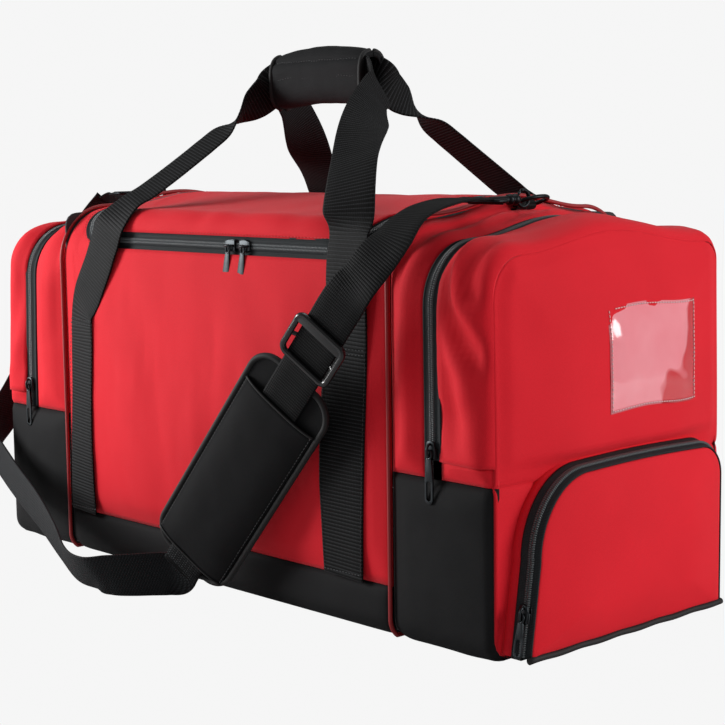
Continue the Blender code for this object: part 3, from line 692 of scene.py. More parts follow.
def front_puff(x, s, a, p):
    return main_relief(x, p.z) if p.z < 0.315 else 0.0005 * ripple(x, p.y, p.z, 25.0)


def lid_puff(x, s, a, p):
    wave = 0.0016 * ripple(x, p.y * 0.6, 0.2, 12.0)
    edge = 0.0008 * math.sin(x * 95.0 + 1.5 * ripple(x, 0, 0, 8.0)) * bump(s, 0.02, 0.012)
    return wave + edge


def gusset_puff(x, s, a, p):
    """Inner gusset between the piping and the arch zip: full in its middle."""
    folds = 0.0034 * ripple(x * 0.8, p.y * 0.5, p.z * 0.7, 17.0)
    top = bump(p.z, 0.338, 0.02) * 0.0030 * math.sin(a * 9.0 + p.y * 45.0)
    return 0.0052 * math.sin(math.pi * a) + folds + top


def low_end_puff(x, s, a, p):
    return 0.0040 * math.sin(math.pi * a) * smooth(p.z, 0.0, 0.05) + 0.0018 * ripple(x, p.y, p.z, 16.0)


def collar_puff(x, s, a, p):
    """Cloth between the arch zip and the end's edge: diagonal drags that the load makes."""
    front = smooth(-p.y, 0.08, 0.14) * smooth(p.z, 0.14, 0.20)
    folds = math.sin(p.z * 82.0 + abs(x) * 150.0 + 3.4 * ripple(x, p.y, p.z, 9.0))
    soft = 0.0032 * ripple(x, p.y * 0.7, p.z, 15.0)
    strength = 0.0052 if x > 0 else 0.0016
    return 0.0035 * math.sin(math.pi * a) + strength * front * folds * math.sin(math.pi * a) + soft


def base_puff(x, s, a, p):
    return 0.0010 * ripple(x, p.y, p.z, 18.0) * smooth(p.z, 0.004, 0.03)


# ---------------------------------------------------------------- main compartment

MAIN_END = SEAM_X - 0.0012
GUSSET_START = SEAM_X + 0.0012
TAPE_IN = 0.0008            # from the middle of a zip to the near edge of its tape
TAPE_OUT = 0.0092
TAPE_THICK = 0.0010
TAPE_CORD = 0.0009          # how far the woven cord beside the teeth stands up
COIL_PITCH = 0.0017
ZIP_SUNK = 0.0012           # how far a zip lies under the cloth's surface
FABRIC_EDGE = 0.0078        # from the middle of a zip to the cloth's folded edge over the tape
TURN = 0.042                # radius of the main zip's rounded corners
LID_T = 3.0 - (1.0 - LID_END) / 2


def zip_edge(x, gap):
    """Distance up the section, at x, of the line that runs gap outside the main zip's middle."""
    over = abs(x) - (ZIP_X - TURN)
    if over <= 0:
        return -gap
    return TURN - math.sqrt(max((TURN + gap) ** 2 - over**2, 0.0))


def under_rows(side_rows):
    """Rows down the front by side_rows, across the floor and up the back the same way."""
    under = side_rows + between(turn(0.0), turn(-1.0), 6)[1:] + between(turn(-1.0), turn(-2.0), 8)[1:]
    return under + [(lambda x, row=row: 5.0 - row(x)) for row in reversed(under[:-1])]


def build_main():
    """The main compartment: base, front with the lid's surround, back and lid."""
    panel("main_base", ["base_panel"], columns(-MAIN_END, MAIN_END, 0.008),
          under_rows(between(at_height(BASE_SEAM - HALF_GAP), turn(0.0), 5)), base_puff, cloth=BLACK)

    side = ZIP_X + FABRIC_EDGE
    xs = columns(-MAIN_END, MAIN_END, 0.005, (-side, side))
    rows = between(at_height(BASE_SEAM + HALF_GAP),
                   lambda x: run_to_t(x, zip_edge(min(abs(x), side), FABRIC_EDGE)), 54)
    split = len(rows) - 1
    rows += between(rows[-1], turn(LID_T), 40)[1:]
    left, right = xs.index(-side), xs.index(side)
    panel("front_cloth", ["front_panel"], xs, rows, front_puff, dips=(1, 1, 1, 0),
          keep=lambda i, j: j < split or i < left or i >= right)

    rows = between(turn(LID_T - 0.02), turn(3.0), 5) + between(turn(3.0), turn(4.0), 10)[1:]
    rows += between(turn(4.0), at_height(BASE_SEAM + HALF_GAP, True), 46)[1:]
    panel("back_cloth", ["back_panel"], columns(-MAIN_END, MAIN_END), rows, front_puff, dips=(1, 1, 0, 1))

    lid_x = ZIP_X - FABRIC_EDGE
    rows = between(lambda x: run_to_t(x, zip_edge(x, -FABRIC_EDGE)), turn(LID_T + 0.045), 56)
    lid = panel("lid_cloth", ["lid_panel"], columns(-lid_x, lid_x, 0.005), rows, lid_puff, None,
                dips=(0, 0, 0, 0))
    hinge = pivot("lid_open")
    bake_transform(lid)


def zip_track():
    """The main zip's U as a list of (x, t), from the back on the left to the back on the right."""
    corner_x = ZIP_X - TURN
    half = [(-ZIP_X, lerp(LID_T - 0.01, run_to_t(ZIP_X, TURN), k / 60)) for k in range(61)]
    for k in range(1, 25):
        angle = k / 24 * math.pi / 2
        x = corner_x + TURN * math.cos(angle)
        half.append((-x, run_to_t(x, TURN - TURN * math.sin(angle))))
    half += [(x, run_to_t(x, 0.0)) for x in (lerp(-corner_x, 0.0, k / 40) for k in range(1, 41))]
    return half + [(-x, t) for x, t in reversed(half[:-1])]


def track_frames(track, lift=0.0):
    """(point, normal, across) along a track; across points to the outside of the U."""
    spots = [section(x, t, lift) for x, t in track]
    out = []
    for k, (p, n) in enumerate(spots):
        along = spots[min(k + 1, len(spots) - 1)][0] - spots[max(k - 1, 0)][0]
        along.normalize()
        out.append((p, n, along.cross(n).normalized()))
    return out


def tape_strip(build, frames, near, far):
    """Zip tape from near to far along each frame's across vector, with its woven cord."""
    shape = [(0.0, 0.0), (0.10, TAPE_CORD), (0.25, TAPE_CORD), (0.36, 0.0001), (0.55, 0.0)]
    shape += [(0.72, 0.0002), (0.80, 0.0007), (0.93, 0.0007), (1.0, -0.0004)]
    run = distances([p for p, _, _ in frames])

    def at(i, j):
        p, n, across = frames[i]
        share, rise = shape[j]
        spot = p + across * lerp(near, far, share) + n * rise
        return spot, spot - n * TAPE_THICK, (lerp(near, far, share), run[i])

    sheet(build, len(frames), len(shape), at)


def teeth(build, frames, side, phase=0.0):
    """Coil teeth: rounded bars across the zip, each row shifted half a pitch against the other."""
    points = [f[0] for f in frames]
    ends = (-0.36 * COIL_PITCH, 0.36 * COIL_PITCH)
    for k, share, along in paces(points, COIL_PITCH, COIL_PITCH * (0.5 + phase)):
        normal = frames[k][1].lerp(frames[k + 1][1], share).normalized()
        across = frames[k][2].lerp(frames[k + 1][2], share).normalized() * side
        centre = points[k].lerp(points[k + 1], share) + normal * 0.0007
        verts = [
            centre + across * w + along * end + normal * h
            for w, h in ((-0.0002, 0.0), (0.0003, 0.0010), (0.0020, 0.0011), (0.0027, 0.0),
                         (-0.0002, -0.0012), (0.0027, -0.0012))
            for end in ends
        ]
        faces = [[0, 1, 3, 2], [2, 3, 5, 4], [4, 5, 7, 6], [8, 9, 1, 0], [6, 7, 11, 10]]
        faces += [[8, 0, 2, 4, 6, 10], [1, 9, 11, 7, 5, 3], [9, 8, 10, 11]]
        build.add(verts, faces, pick=1)


def zip_piece(name, frames, side, body, node, thread=None, phase=0.0):
    """Tape and teeth on one side of a zip, with a row of stitches if it has a thread."""
    build = Build()
    tape_strip(build, frames, side * TAPE_IN, side * TAPE_OUT)
    teeth(build, frames, side, phase)
    if thread:
        path = [(p + a * side * (FABRIC_EDGE + 0.0016) + n * 0.0014, n) for p, n, a in frames]
        stitches(build, path, 0.0042, 0.0026, 0.00035, pick=2)
    build.make(name, [TAPE, COIL, thread or THREAD_DARK], body, [node])


def build_main_zip():
    frames = track_frames(zip_track(), -ZIP_SUNK)
    zip_piece("main_zip_outer", frames, 1.0, "bag_body", "main_zip_body_tape", THREAD_RED)
    zip_piece("main_zip_inner", frames, -1.0, "lid", "main_zip_lid_tape", THREAD_RED, 0.5)


# ---------------------------------------------------------------- ends

EDGE_R = 0.008              # soft edge between the gussets and the end face
FACE_X = HALF_L - 0.0035
LEFT_TRIM = 0.040           # height of the black strip at the foot of the left end face


def end_edge(x):
    """How far the surface draws in as it nears the end's edge seam."""
    d = clamp(FACE_X - abs(x), 0.0, EDGE_R)
    return -(EDGE_R - math.sqrt(EDGE_R**2 - (EDGE_R - d) ** 2)) * 0.62


def build_end(side, sign, zip_x):
    """An end compartment: gusset, collar, lower cloth, end face and arch zip."""
    cap = f"{side}_end_cap"

    def span(low, high):
        xs = columns(low, high, 0.005)
        return xs if sign > 0 else [-x for x in reversed(xs)]

    def collar(x, s, a, p):
        across = a if sign > 0 else 1 - a
        return collar_puff(x, s, across, p) * smooth(FACE_X - abs(x), 0, 0.012)

    def low_puff(x, s, a, p):
        return low_end_puff(x, s, a, p) * smooth(FACE_X - abs(x), 0, 0.012)

    seam, back_seam = at_height(END_SEAM + HALF_GAP), at_height(END_SEAM + HALF_GAP, True)
    fold, back_fold = at_height(FOLD_Z), at_height(FOLD_Z, True)
    panel(f"{side}_gusset_cloth", [f"{side}_inner_gusset"], span(GUSSET_START, zip_x - FABRIC_EDGE),
          over_between(seam, back_seam), gusset_puff)
    out_xs = span(zip_x + FABRIC_EDGE, FACE_X)
    panel(f"{side}_cap_collar", [f"{side}_end_panel"], out_xs, over_between(fold, back_fold), collar,
          cap, dips=(0, 0, 0, 0), shift=end_edge)
    for place, first, last, dips in (
        ("front", seam, fold, (1, 1, 1, 0)), ("back", back_fold, back_seam, (1, 1, 0, 1))
    ):
        panel(f"{side}_low_collar_{place}", [f"{side}_lower_panel"], out_xs, between(first, last, 4),
              collar, dips=dips, shift=end_edge)
    panel(f"{side}_low_cloth", [f"{side}_lower_end"], span(GUSSET_START, FACE_X),
          under_rows(between(at_height(END_SEAM - HALF_GAP), turn(0.0), 22)), low_puff, cloth=BLACK,
          shift=end_edge)
    build_face(side, sign)
    zip_piece(f"{side}_zip_in", arch_frames(sign * zip_x, END_SEAM + 0.001), -sign, "bag_body",
              f"{side}_zip_inner_tape")
    zip_piece(f"{side}_zip_out", arch_frames(sign * zip_x, FOLD_Z), sign, cap,
              f"{side}_zip_outer_tape", phase=0.5)


def arch_frames(x, low):
    """(point, normal, across) along an end's arch zip, from a height in front to the same behind."""
    rows = over_between(at_height(low), at_height(low, True), 0.004)
    return [(*section(x, row(x), -ZIP_SUNK), Vector((1, 0, 0))) for row in rows]


def face_point(sign, u, zs):
    """Point of the end face: u across in -1..1, zs the side height of its row."""
    x = sign * FACE_X
    edge, crown, corner = sizes(x, u > 0)
    pull = EDGE_R * 0.62
    if zs < LOW:
        half = HALF_D - LOW + math.sqrt(max(LOW**2 - (LOW - zs) ** 2, 0.0))
    elif zs > edge - corner:
        half = HALF_D - corner + math.sqrt(max(corner**2 - (zs - edge + corner) ** 2, 0.0))
    else:
        half = HALF_D
    half -= pull
    zs = lerp(pull * 0.6, edge - pull, zs / edge)
    rise = crown * 0.5 * (1 + math.cos(math.pi * u)) * smooth(zs, 0.16, edge)
    return half * u, zs + rise


def face_bulge(sign, u, zs):
    """How far the end face stands out."""
    top = sizes(sign * FACE_X)[0]
    side_gap = (1 - abs(u)) * HALF_D
    height_gap = min(zs, top - zs)
    gap = min(side_gap, height_gap)
    rounding = 0.0042 * smooth(gap, 0.0, 0.018) + 0.0085 * smooth(gap, 0.0, 0.085)
    seam = 0.0022 * math.exp(-abs(zs - END_SEAM) / 0.0028)
    wave = 0.0016 * ripple(u * 0.8, 2.0 + sign, zs * 7.0, 1.6) * smooth(gap, 0.0, 0.03)
    lower = 0.35 if sign > 0 and zs < 0.152 else 1.0
    upper = 1.0 if zs > END_SEAM else 0.75
    rounding *= 1.0 if sign > 0 else 0.35
    return (rounding * upper * lerp(lower, 1.0, smooth(zs, 0.140, 0.175))) + wave * lower - seam


def build_face(side, sign):
    """End face with its cross seam."""
    top = sizes(sign * FACE_X)[0]
    levels = [lerp(0.0, 0.131, k / 26) for k in range(27)]
    levels += [0.1335, 0.1355, END_SEAM, 0.1385, 0.1405, 0.1435]
    levels += [lerp(0.147, top - 0.03, k / 28) for k in range(29)]
    levels += [lerp(top - 0.03, top, k / 9) for k in range(1, 10)]
    across = [math.sin(math.pi / 2 * (k / 26 - 1)) * 0.5 + (k / 26 - 1) * 0.5 for k in range(53)]

    def at(i, j):
        y, z = face_point(sign, across[i], levels[j])
        x = FACE_X + face_bulge(sign, across[i], levels[j]) + sign * end_lean(sign * HALF_L, z)
        return Vector((sign * x, y, z)), Vector((sign * (x - 0.002), y, z)), (y, z)

    build = Build()
    sheet(build, len(across), len(levels), at, picks=(0, 1, 0))
    obj = build.make(f"{side}_face_cloth", [RED, LINING, BLACK], None, [f"{side}_end_panel"])
    if side == "left":
        for face in obj.data.polygons:
            if face.material_index == 0 and face.center.z < LEFT_TRIM:
                face.material_index = 2
    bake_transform(obj)


def build_piping():
    """Piping in the seams between the main compartment and the ends."""
    for side, sign in (("left", -1), ("right", 1)):
        path = []
        for k in range(260):
            p, _ = section(sign * (SEAM_X - 0.0001), lerp(-2.0, 7.0, k / 260), 0.0009)
            p.z = max(p.z, 0.0030)
            path.append(p)
        build = Build()
        tube(build, path, 0.0018, 10, closed=True)
        build.make(f"{side}_seam_piping", [PIPING], "bag_body", [f"{side}_piping"])


def build_window():
    """Clear window with its welded, stitched border."""
    low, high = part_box("id_window")
    cols, rows = 30, 22

    def face_x(y, z):
        return FACE_X + face_bulge(1, y / (HALF_D - 0.0074), z) + end_lean(HALF_L, z)

    def sway(y):
        return 0.0012 * math.sin(y * 60.0)

    def at(i, j):
        y = lerp(low.y, high.y, i / cols)
        z = lerp(low.z, high.z, j / rows) + sway(y)
        x = face_x(y, z)
        gap = min(y - low.y, high.y - y, z - low.z, high.z - z)
        lift = 0.0006 + 0.0016 * smooth(gap, 0.002, 0.02) + 0.0005 * ripple(0, y, z, 40.0)
        return Vector((x + lift, y, z)), Vector((x + 0.0002, y, z)), (y - low.y, z - low.z)

    build = Build()
    sheet(build, cols + 1, rows + 1, at)
    left, right, foot, top = (low.y + 0.0018, high.y - 0.0018, low.z + 0.0018, high.z - 0.0018)
    corners = [(left, top), (left, foot), (right, foot), (right, top), (left, top)]
    path = []
    for (y0, z0), (y1, z1) in zip(corners, corners[1:]):
        for k in range(20):
            y, z = lerp(y0, y1, k / 20), lerp(z0, z1, k / 20)
            path.append((Vector((face_x(y, z) + 0.0010, y, z + sway(y))), Vector((1, 0, 0))))
    stitches(build, path, 0.0034, 0.0024, 0.00055, pick=1)
    build.make("name_window", [VINYL, THREAD_PALE], "right_end_cap", ["id_window"])


# ---------------------------------------------------------------- end pocket

POCKET_FOOT = 0.010
ARCH_FOOT = 0.0085
NEAR_FOOT = (-0.131, 0.010)
NEAR_TOP = (-0.120, 0.080)


def pocket_line(inset):
    """Dense (y, z) line of the pocket's arch with outward normals, near foot to far foot."""
    turn_r, far_y, far_r, top = 0.062, 0.117, 0.030, 0.147
    points = [(lerp(NEAR_FOOT[0], NEAR_TOP[0], k / 12), lerp(ARCH_FOOT, NEAR_TOP[1], k / 12))
              for k in range(12)]
    for k in range(25):
        angle = k / 24 * math.pi / 2
        points.append((NEAR_TOP[0] + turn_r * (1 - math.cos(angle)),
                       NEAR_TOP[1] + (top - NEAR_TOP[1]) * math.sin(angle)))
    for k in range(1, 24):
        y = lerp(NEAR_TOP[0] + turn_r, far_y - far_r, k / 24)
        points.append((y, top + 0.0015 * math.sin(math.pi * k / 24)))
    for k in range(13):
        angle = math.pi / 2 * (1 - k / 12)
        points.append((far_y - far_r + far_r * math.cos(angle), top - far_r + far_r * math.sin(angle)))
    points += [(far_y, lerp(top - far_r, ARCH_FOOT, k / 18)) for k in range(1, 19)]
    out = []
    for k, (y, z) in enumerate(points):
        y0, z0 = points[max(k - 1, 0)]
        y1, z1 = points[min(k + 1, len(points) - 1)]
        size = math.hypot(y1 - y0, z1 - z0)
        ny, nz = -(z1 - z0) / size, (y1 - y0) / size
        out.append((y - ny * inset, z - nz * inset, ny, nz))
    return out


def pocket_slope(x):
    """Inset of the pocket's arch at depth x: wider at the bag, narrower at the front."""
    share = clamp((x - HALF_L) / POCKET_DEPTH)
    return lerp(-0.0030, 0.0050, share)


def pocket_band(low_x, high_x, relief, thick):
    """Strip of the pocket's side wall between two depths; relief(a) lifts it."""
    xs = [lerp(low_x, high_x, k / 5) for k in range(6)]
    lines = [pocket_line(pocket_slope(x)) for x in xs]

    def spot(i, j, drop=0.0):
        y, z, ny, nz = lines[i][j]
        lift = relief((xs[i] - low_x) / (high_x - low_x)) - drop
        return Vector((xs[i], y + ny * lift, z + nz * lift))

    runs = [distances([spot(i, j) for j in range(len(lines[i]))]) for i in range(len(xs))]
    build = Build()
    sheet(build, len(xs), len(lines[0]),
          lambda i, j: (spot(i, j), spot(i, j, thick), (xs[i], runs[i][j])))
    return build


def build_pocket():
    """The end pocket's side wall, floor, two zip tapes, front and binding."""
    zip_x = sum(corner.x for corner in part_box("pocket_slider")) / 2
    start, front = HALF_L - 0.0035, HALF_L + POCKET_DEPTH
    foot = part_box("pocket_gusset")[0].z

    wall = pocket_band(start, zip_x - 0.0070, lambda a: 0.0006 * math.sin(math.pi * a), CLOTH_THICK)
    wall.make("pocket_wall", [RED], "bag_body", ["pocket_gusset"])

    def floor_at(i, j):
        y, x = lerp(NEAR_FOOT[0], 0.117, i / 24), (start, start + 0.008, front - 0.009)[j]
        return Vector((x, y, POCKET_FOOT - 0.0006)), Vector((x, y, foot + 0.0002)), (y, x)

    floor = Build()
    sheet(floor, 25, 3, floor_at)
    floor.make("pocket_floor", [BLACK], "bag_body")

    for name, low_x, high_x, body, side, node in (
        ("pocket_zip_in", zip_x - 0.0078, zip_x - 0.0008, "bag_body", -1, "pocket_zip_inner_tape"),
        ("pocket_zip_out", zip_x + 0.0008, zip_x + 0.0074, "pocket_front", 1, "pocket_zip_outer_tape"),
    ):
        tape = pocket_band(low_x, high_x, lambda a: 0.0007, 0.0011)
        frames = [(Vector((zip_x, y, z)), Vector((0, ny, nz)), Vector((1, 0, 0)))
                  for y, z, ny, nz in pocket_line(pocket_slope(zip_x))]
        teeth(tape, frames, side, 0.25 + 0.25 * side)
        tape.make(name, [TAPE, COIL], body, [node])

    build_pocket_front(front)
    low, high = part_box("pocket_piping")
    path = [Vector((front - 0.0026, lerp(low.y - 0.001, high.y + 0.001, k / 40),
                    0.0070 + 0.0004 * math.sin(k * 0.8))) for k in range(41)]
    build = Build()
    tube(build, path, 0.0027, 10)
    build.make("pocket_binding", [BINDING], "bag_body", ["pocket_piping"])


# ---------------------------------------------------------------- sliders and pulls

def build_pocket_front(front):
    """The pocket's front: full in the middle, turned in at its seam."""
    centre = Vector((0.0, -0.002, 0.070))
    line = pocket_line(pocket_slope(front))
    outline = [(p[0], p[1]) for p in line]
    outline += [(lerp(line[-1][0], line[0][0], k / 30), POCKET_FOOT - 0.0012) for k in range(1, 30)]

    def at(layer, share, y, z):
        py = centre.y + (y - centre.y) * share
        pz = centre.z + (z - centre.z) * share
        gap = (1 - share) * 0.07
        puffed = -0.0024 * math.exp(-gap / 0.0035) + 0.0050 * smooth(gap, 0.0, 0.035)
        puffed += 0.0010 * ripple(3.0, py, pz, 16.0) * smooth(gap, 0, 0.01)
        return Vector((front - 0.0004 + puffed - 0.002 * layer, py, pz)), (py, pz)

    middles = [(Vector((front + 0.0046 - 0.002 * layer, centre.y, centre.z)), (centre.y, centre.z))
               for layer in (0, 1)]
    rings = [1.0, 0.985, 0.96, 0.92, 0.86, 0.78, 0.68, 0.56, 0.42, 0.28, 0.14, 0.05]
    build = Build()
    cushion(build, outline, rings, at, middles)
    build.make("pocket_face", [RED], "pocket_front", ["pocket_flap"])


def slab(build, outline, thick, to_world, hole=()):
    """Flat plate from an outline of (a, b), with a hole if its outline is given."""
    loops = [outline, hole] if hole else [outline]
    flat = [[Vector((a, b, 0.0)) for a, b in loop] for loop in loops]
    triangles = geometry.tessellate_polygon(flat)
    points = [p for loop in flat for p in loop]
    verts = [to_world(p.x, p.y, side * thick / 2) for side in (1, -1) for p in points]
    count = len(points)
    faces = [list(t) for t in triangles]
    faces += [[count + k for k in reversed(t)] for t in triangles]
    start = 0
    for loop in loops:
        for k in range(len(loop)):
            a, b = start + k, start + (k + 1) % len(loop)
            faces.append([a, b, count + b, count + a])
        start += len(loop)
    build.add(verts, faces)


def soften(obj, width, segments=2):
    """Small bevel on the sharp edges."""
    step = obj.modifiers.new("soft_edges", "BEVEL")
    step.width = width
    step.segments = segments
    step.limit_method = "ANGLE"
    step.angle_limit = math.radians(35)
    return obj


def half_turn(radius_a, radius_b, centre_a, centre_b, steps):
    """Half ellipse of (a, b) points from low a to high a, about (centre_a, centre_b)."""
    angles = [math.pi * k / steps for k in range(steps + 1)]
    return [(centre_a - radius_a * math.cos(t), centre_b + radius_b * math.sin(t)) for t in angles]


def make_slider(name, axes, pin):
    """Slider body with its bridge. axes: across the zip, along it and out."""
    across, along, out = axes
    place = pin - out * 0.0036

    def at(a, b, c):
        return place + across * a + along * b + out * c

    def plate(outline, thick, level):
        slab(build, outline, thick, lambda a, b, c: at(a, b, level + c))

    build = Build()
    nose = [(-0.0046, -0.0060), (-0.0040, -0.0072), (0.0040, -0.0072), (0.0046, -0.0060)]
    nose += [(0.0049, 0.0020), (0.0036, 0.0066), (0.0012, 0.0074), (-0.0012, 0.0074)]
    nose += [(-0.0036, 0.0066), (-0.0049, 0.0020)]
    plate(nose, 0.0012, 0.0016)
    plate(nose, 0.0012, -0.0026)
    plate([(-0.0007, 0.002), (0.0007, 0.002), (0.0007, 0.0068), (-0.0007, 0.0068)], 0.0036, -0.0005)
    for edge in (-0.0047, 0.0047):
        plate([(edge - 0.0006, -0.0066), (edge + 0.0006, -0.0066), (edge + 0.0006, 0.0016),
               (edge - 0.0006, 0.0016)], 0.0016, 0.0004)
    bridge = []
    for k in range(13):
        angle = math.pi * k / 12
        bridge.append(at(0.0, 0.0050 * math.cos(angle), 0.0018 + 0.0040 * math.sin(angle) ** 0.7))
    tube(build, bridge, 0.0011, 8, up=across)
    obj = build.make(f"{name}_zip_slider", [GUNMETAL], f"{name}_slider_body", [f"{name}_slider"])
    soften(obj, 0.00025)


def make_pull(name, pin, right, down, length):
    """Pull tab with its ring, hanging down from the pin."""
    forward = right.cross(down)
    if forward.y > 0:
        forward = -forward

    def hang(a, b, c):
        return pin + right * a + down * b + forward * c

    build = Build()
    turns = [2 * math.pi * k / 16 for k in range(16)]
    ring = [hang(0.0024 * math.cos(t), 0.0030 + 0.0034 * math.sin(t), 0.0) for t in turns]
    tube(build, ring, 0.00095, 8, closed=True, up=forward)
    edge = [(0.0020, 0.0058), (0.0027, 0.0068), (0.0036, 0.0150), (0.0043, 0.024)]
    outline = [(-a, b) for a, b in edge]
    outline += half_turn(0.0043, 0.0043, 0.0, length - 0.0043, 12) + edge[::-1]
    hole = half_turn(0.0024, 0.0022, 0.0, length - 0.0046, 11)
    hole += half_turn(-0.0024, -0.0022, 0.0, length * 0.62, 11)
    slab(build, outline, 0.0013, hang, hole)
    obj = build.make(f"{name}_zip_pull", [GUNMETAL], f"{name}_pull_body", [f"{name}_pull"])
    soften(obj, 0.00028)


def build_sliders():
    """Every zip's slider and pull; the main pulls hang at a slant."""
    x, z, y = Vector((1, 0, 0)), Vector((0, 0, 1)), Vector((0, -1, 0))
    lean = Matrix.Rotation(-math.atan2(0.011, 0.070), 3, "X")
    tilted = Vector((1, 0, -0.16)).normalized(), Vector((-0.16, 0, -1)).normalized()
    for name, axes, hang, length in (
        ("main_left", (z, -x, y), tilted, 0.049),
        ("main_right", (z, x, y), tilted, 0.049),
        ("left_end", (x, z, y), (x, -z), 0.042),
        ("right_end", (x, z, y), (x, -z), 0.042),
        ("pocket", (x, lean @ z, lean @ y), (x, lean @ -z), 0.034),
    ):
        pin = pivot(f"{name}_pull_swing")
        make_slider(name, axes, pin)
        make_pull(name, pin, *hang, length)


# ---------------------------------------------------------------- handles

GRIP_LOW, GRIP_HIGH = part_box("grip_front_half")
GRIP_MID = (GRIP_LOW.z + GRIP_HIGH.z) / 2
GRIP_Y, GRIP_Z, GRIP_WIDE = 0.012, 0.446, 0.036     # the webbing where it enters the hand wrap
SEWN_TOP = 0.245
# Each leg: x at its foot, at the sewn top, at the shoulder and at the grip, how late it leans, where
# it leaves the bag (distance from the middle, height), how it rises from there, its width, and
# where on the way up it starts to turn on edge for the grip
LEGS = {
    "front": ((-0.199, -0.188, -0.126, -0.068, 0.8, 0.136, 0.344, 1.10, 0.041, 0.62),
              (0.175, 0.186, 0.187, 0.082, 1.0, 0.147, 0.347, 0.60, 0.046, 0.10)),
    "back": ((-0.199, -0.188, -0.152, -0.070, 1.0, 0.134, 0.344, 1.0, 0.046, 0.10),
             (0.175, 0.186, 0.116, 0.068, 1.0, 0.134, 0.344, 1.0, 0.044, 0.62)),
}


def outside(x, z):
    """Distance from the middle plane to the face of the main compartment at a height."""
    edge, _, corner = sizes(x)
    over = clamp(z - edge + corner, 0.0, corner)
    return HALF_D - corner + math.sqrt(corner**2 - over**2) + main_relief(x, z)


def build_handle(side, sign):
    """One webbing from sewn leg to sewn leg."""
    hub = pivot(f"{side}_handle_swing")

    def sewn(x_low, x_sewn, z):
        """x of the sewn leg at a height, and how steeply the cloth rises across it."""
        x = lerp(x_low, x_sewn, (z - BASE_SEAM) / (SEWN_TOP - BASE_SEAM))
        return x, (main_relief(x + 0.012, z) - main_relief(x - 0.012, z)) / 0.024

    def half(x_low, x_sewn, x_top, x_grip, late, shoulder_y, shoulder_z, rise, wide, start, way):
        stations = []
        for z in (BASE_SEAM + 0.0006, 0.060, 0.090, 0.125, 0.165, 0.205, 0.240):
            x, slope = sewn(x_low, x_sewn, z)
            stations.append(((x, sign * (outside(x, z) + 0.0012), z), (1, sign * slope, 0), wide))
        for z, gap in ((0.262, 0.0020), (0.285, 0.0038), (0.305, 0.0055), (0.325, 0.0068)):
            x = lerp(x_sewn, x_top, ((z - SEWN_TOP) / (shoulder_z - SEWN_TOP)) ** late)
            lean = 0.40 * (x_top - x_sewn) / (shoulder_z - SEWN_TOP)
            y = max(outside(x, z) + gap, shoulder_y)
            stations.append(((x, sign * y, z), (1, 0, -lean), wide))
        along = Vector((x_grip - x_top, -sign * (shoulder_y - GRIP_Y), GRIP_Z - shoulder_z)).normalized()
        flat = (Vector((1, 0, 0)) - along * along.x).normalized()
        steep = along.cross(flat) * (1 if way > 0 else -1) * sign
        for k in range(10):
            share = k / 9
            turned = math.pi / 2 * smooth(share, start, 1.0)
            across = flat * math.cos(turned) + steep * math.sin(turned)
            spot = (
                lerp(x_top, x_grip, share), sign * lerp(shoulder_y, GRIP_Y, share),
                lerp(shoulder_z, GRIP_Z, share**rise),
            )
            stations.append((spot, across, lerp(wide, GRIP_WIDE, share)))
        return stations

    left, right = LEGS[side]
    stations = half(*left, 1)
    for x in (GRIP_LOW.x + 0.012, 0.0, GRIP_HIGH.x - 0.012):
        stations.append(((x, sign * 0.0070, GRIP_MID - 0.001), (0, 0, -1), GRIP_WIDE))
    stations += reversed(half(*right, -1))
    nodes = [f"{side}_handle_loop", f"{side}_left_handle_leg", f"{side}_right_handle_leg"]
    obj = webbing(f"{side}_handle_webbing", stations, WEBBING, None, nodes, rib=0.0031)
    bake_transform(obj)

    build = Build()
    for x_low, x_sewn in (leg[:2] for leg in LEGS[side]):

        def spot(edge, z):
            x, slope = sewn(x_low, x_sewn, z)
            y = HALF_D + main_relief(x, z) + slope * edge + 0.0024
            return Vector((x + edge, sign * y, z)), Vector((0, sign, 0))

        for edge in (-0.0215, 0.0215):
            path = [spot(edge, lerp(BASE_SEAM + 0.004, 0.232, k / 29)) for k in range(30)]
            stitches(build, path, 0.0040, 0.0027, 0.0003)
        for z in (0.232, 0.228, BASE_SEAM + 0.005):
            path = [spot(lerp(-0.022, 0.022, k / 11), z) for k in range(12)]
            stitches(build, path, 0.0036, 0.0026, 0.0004)
    build.make(f"{side}_handle_stitches", [THREAD_DARK], "bag_body")
    build_grip_half(side, sign)


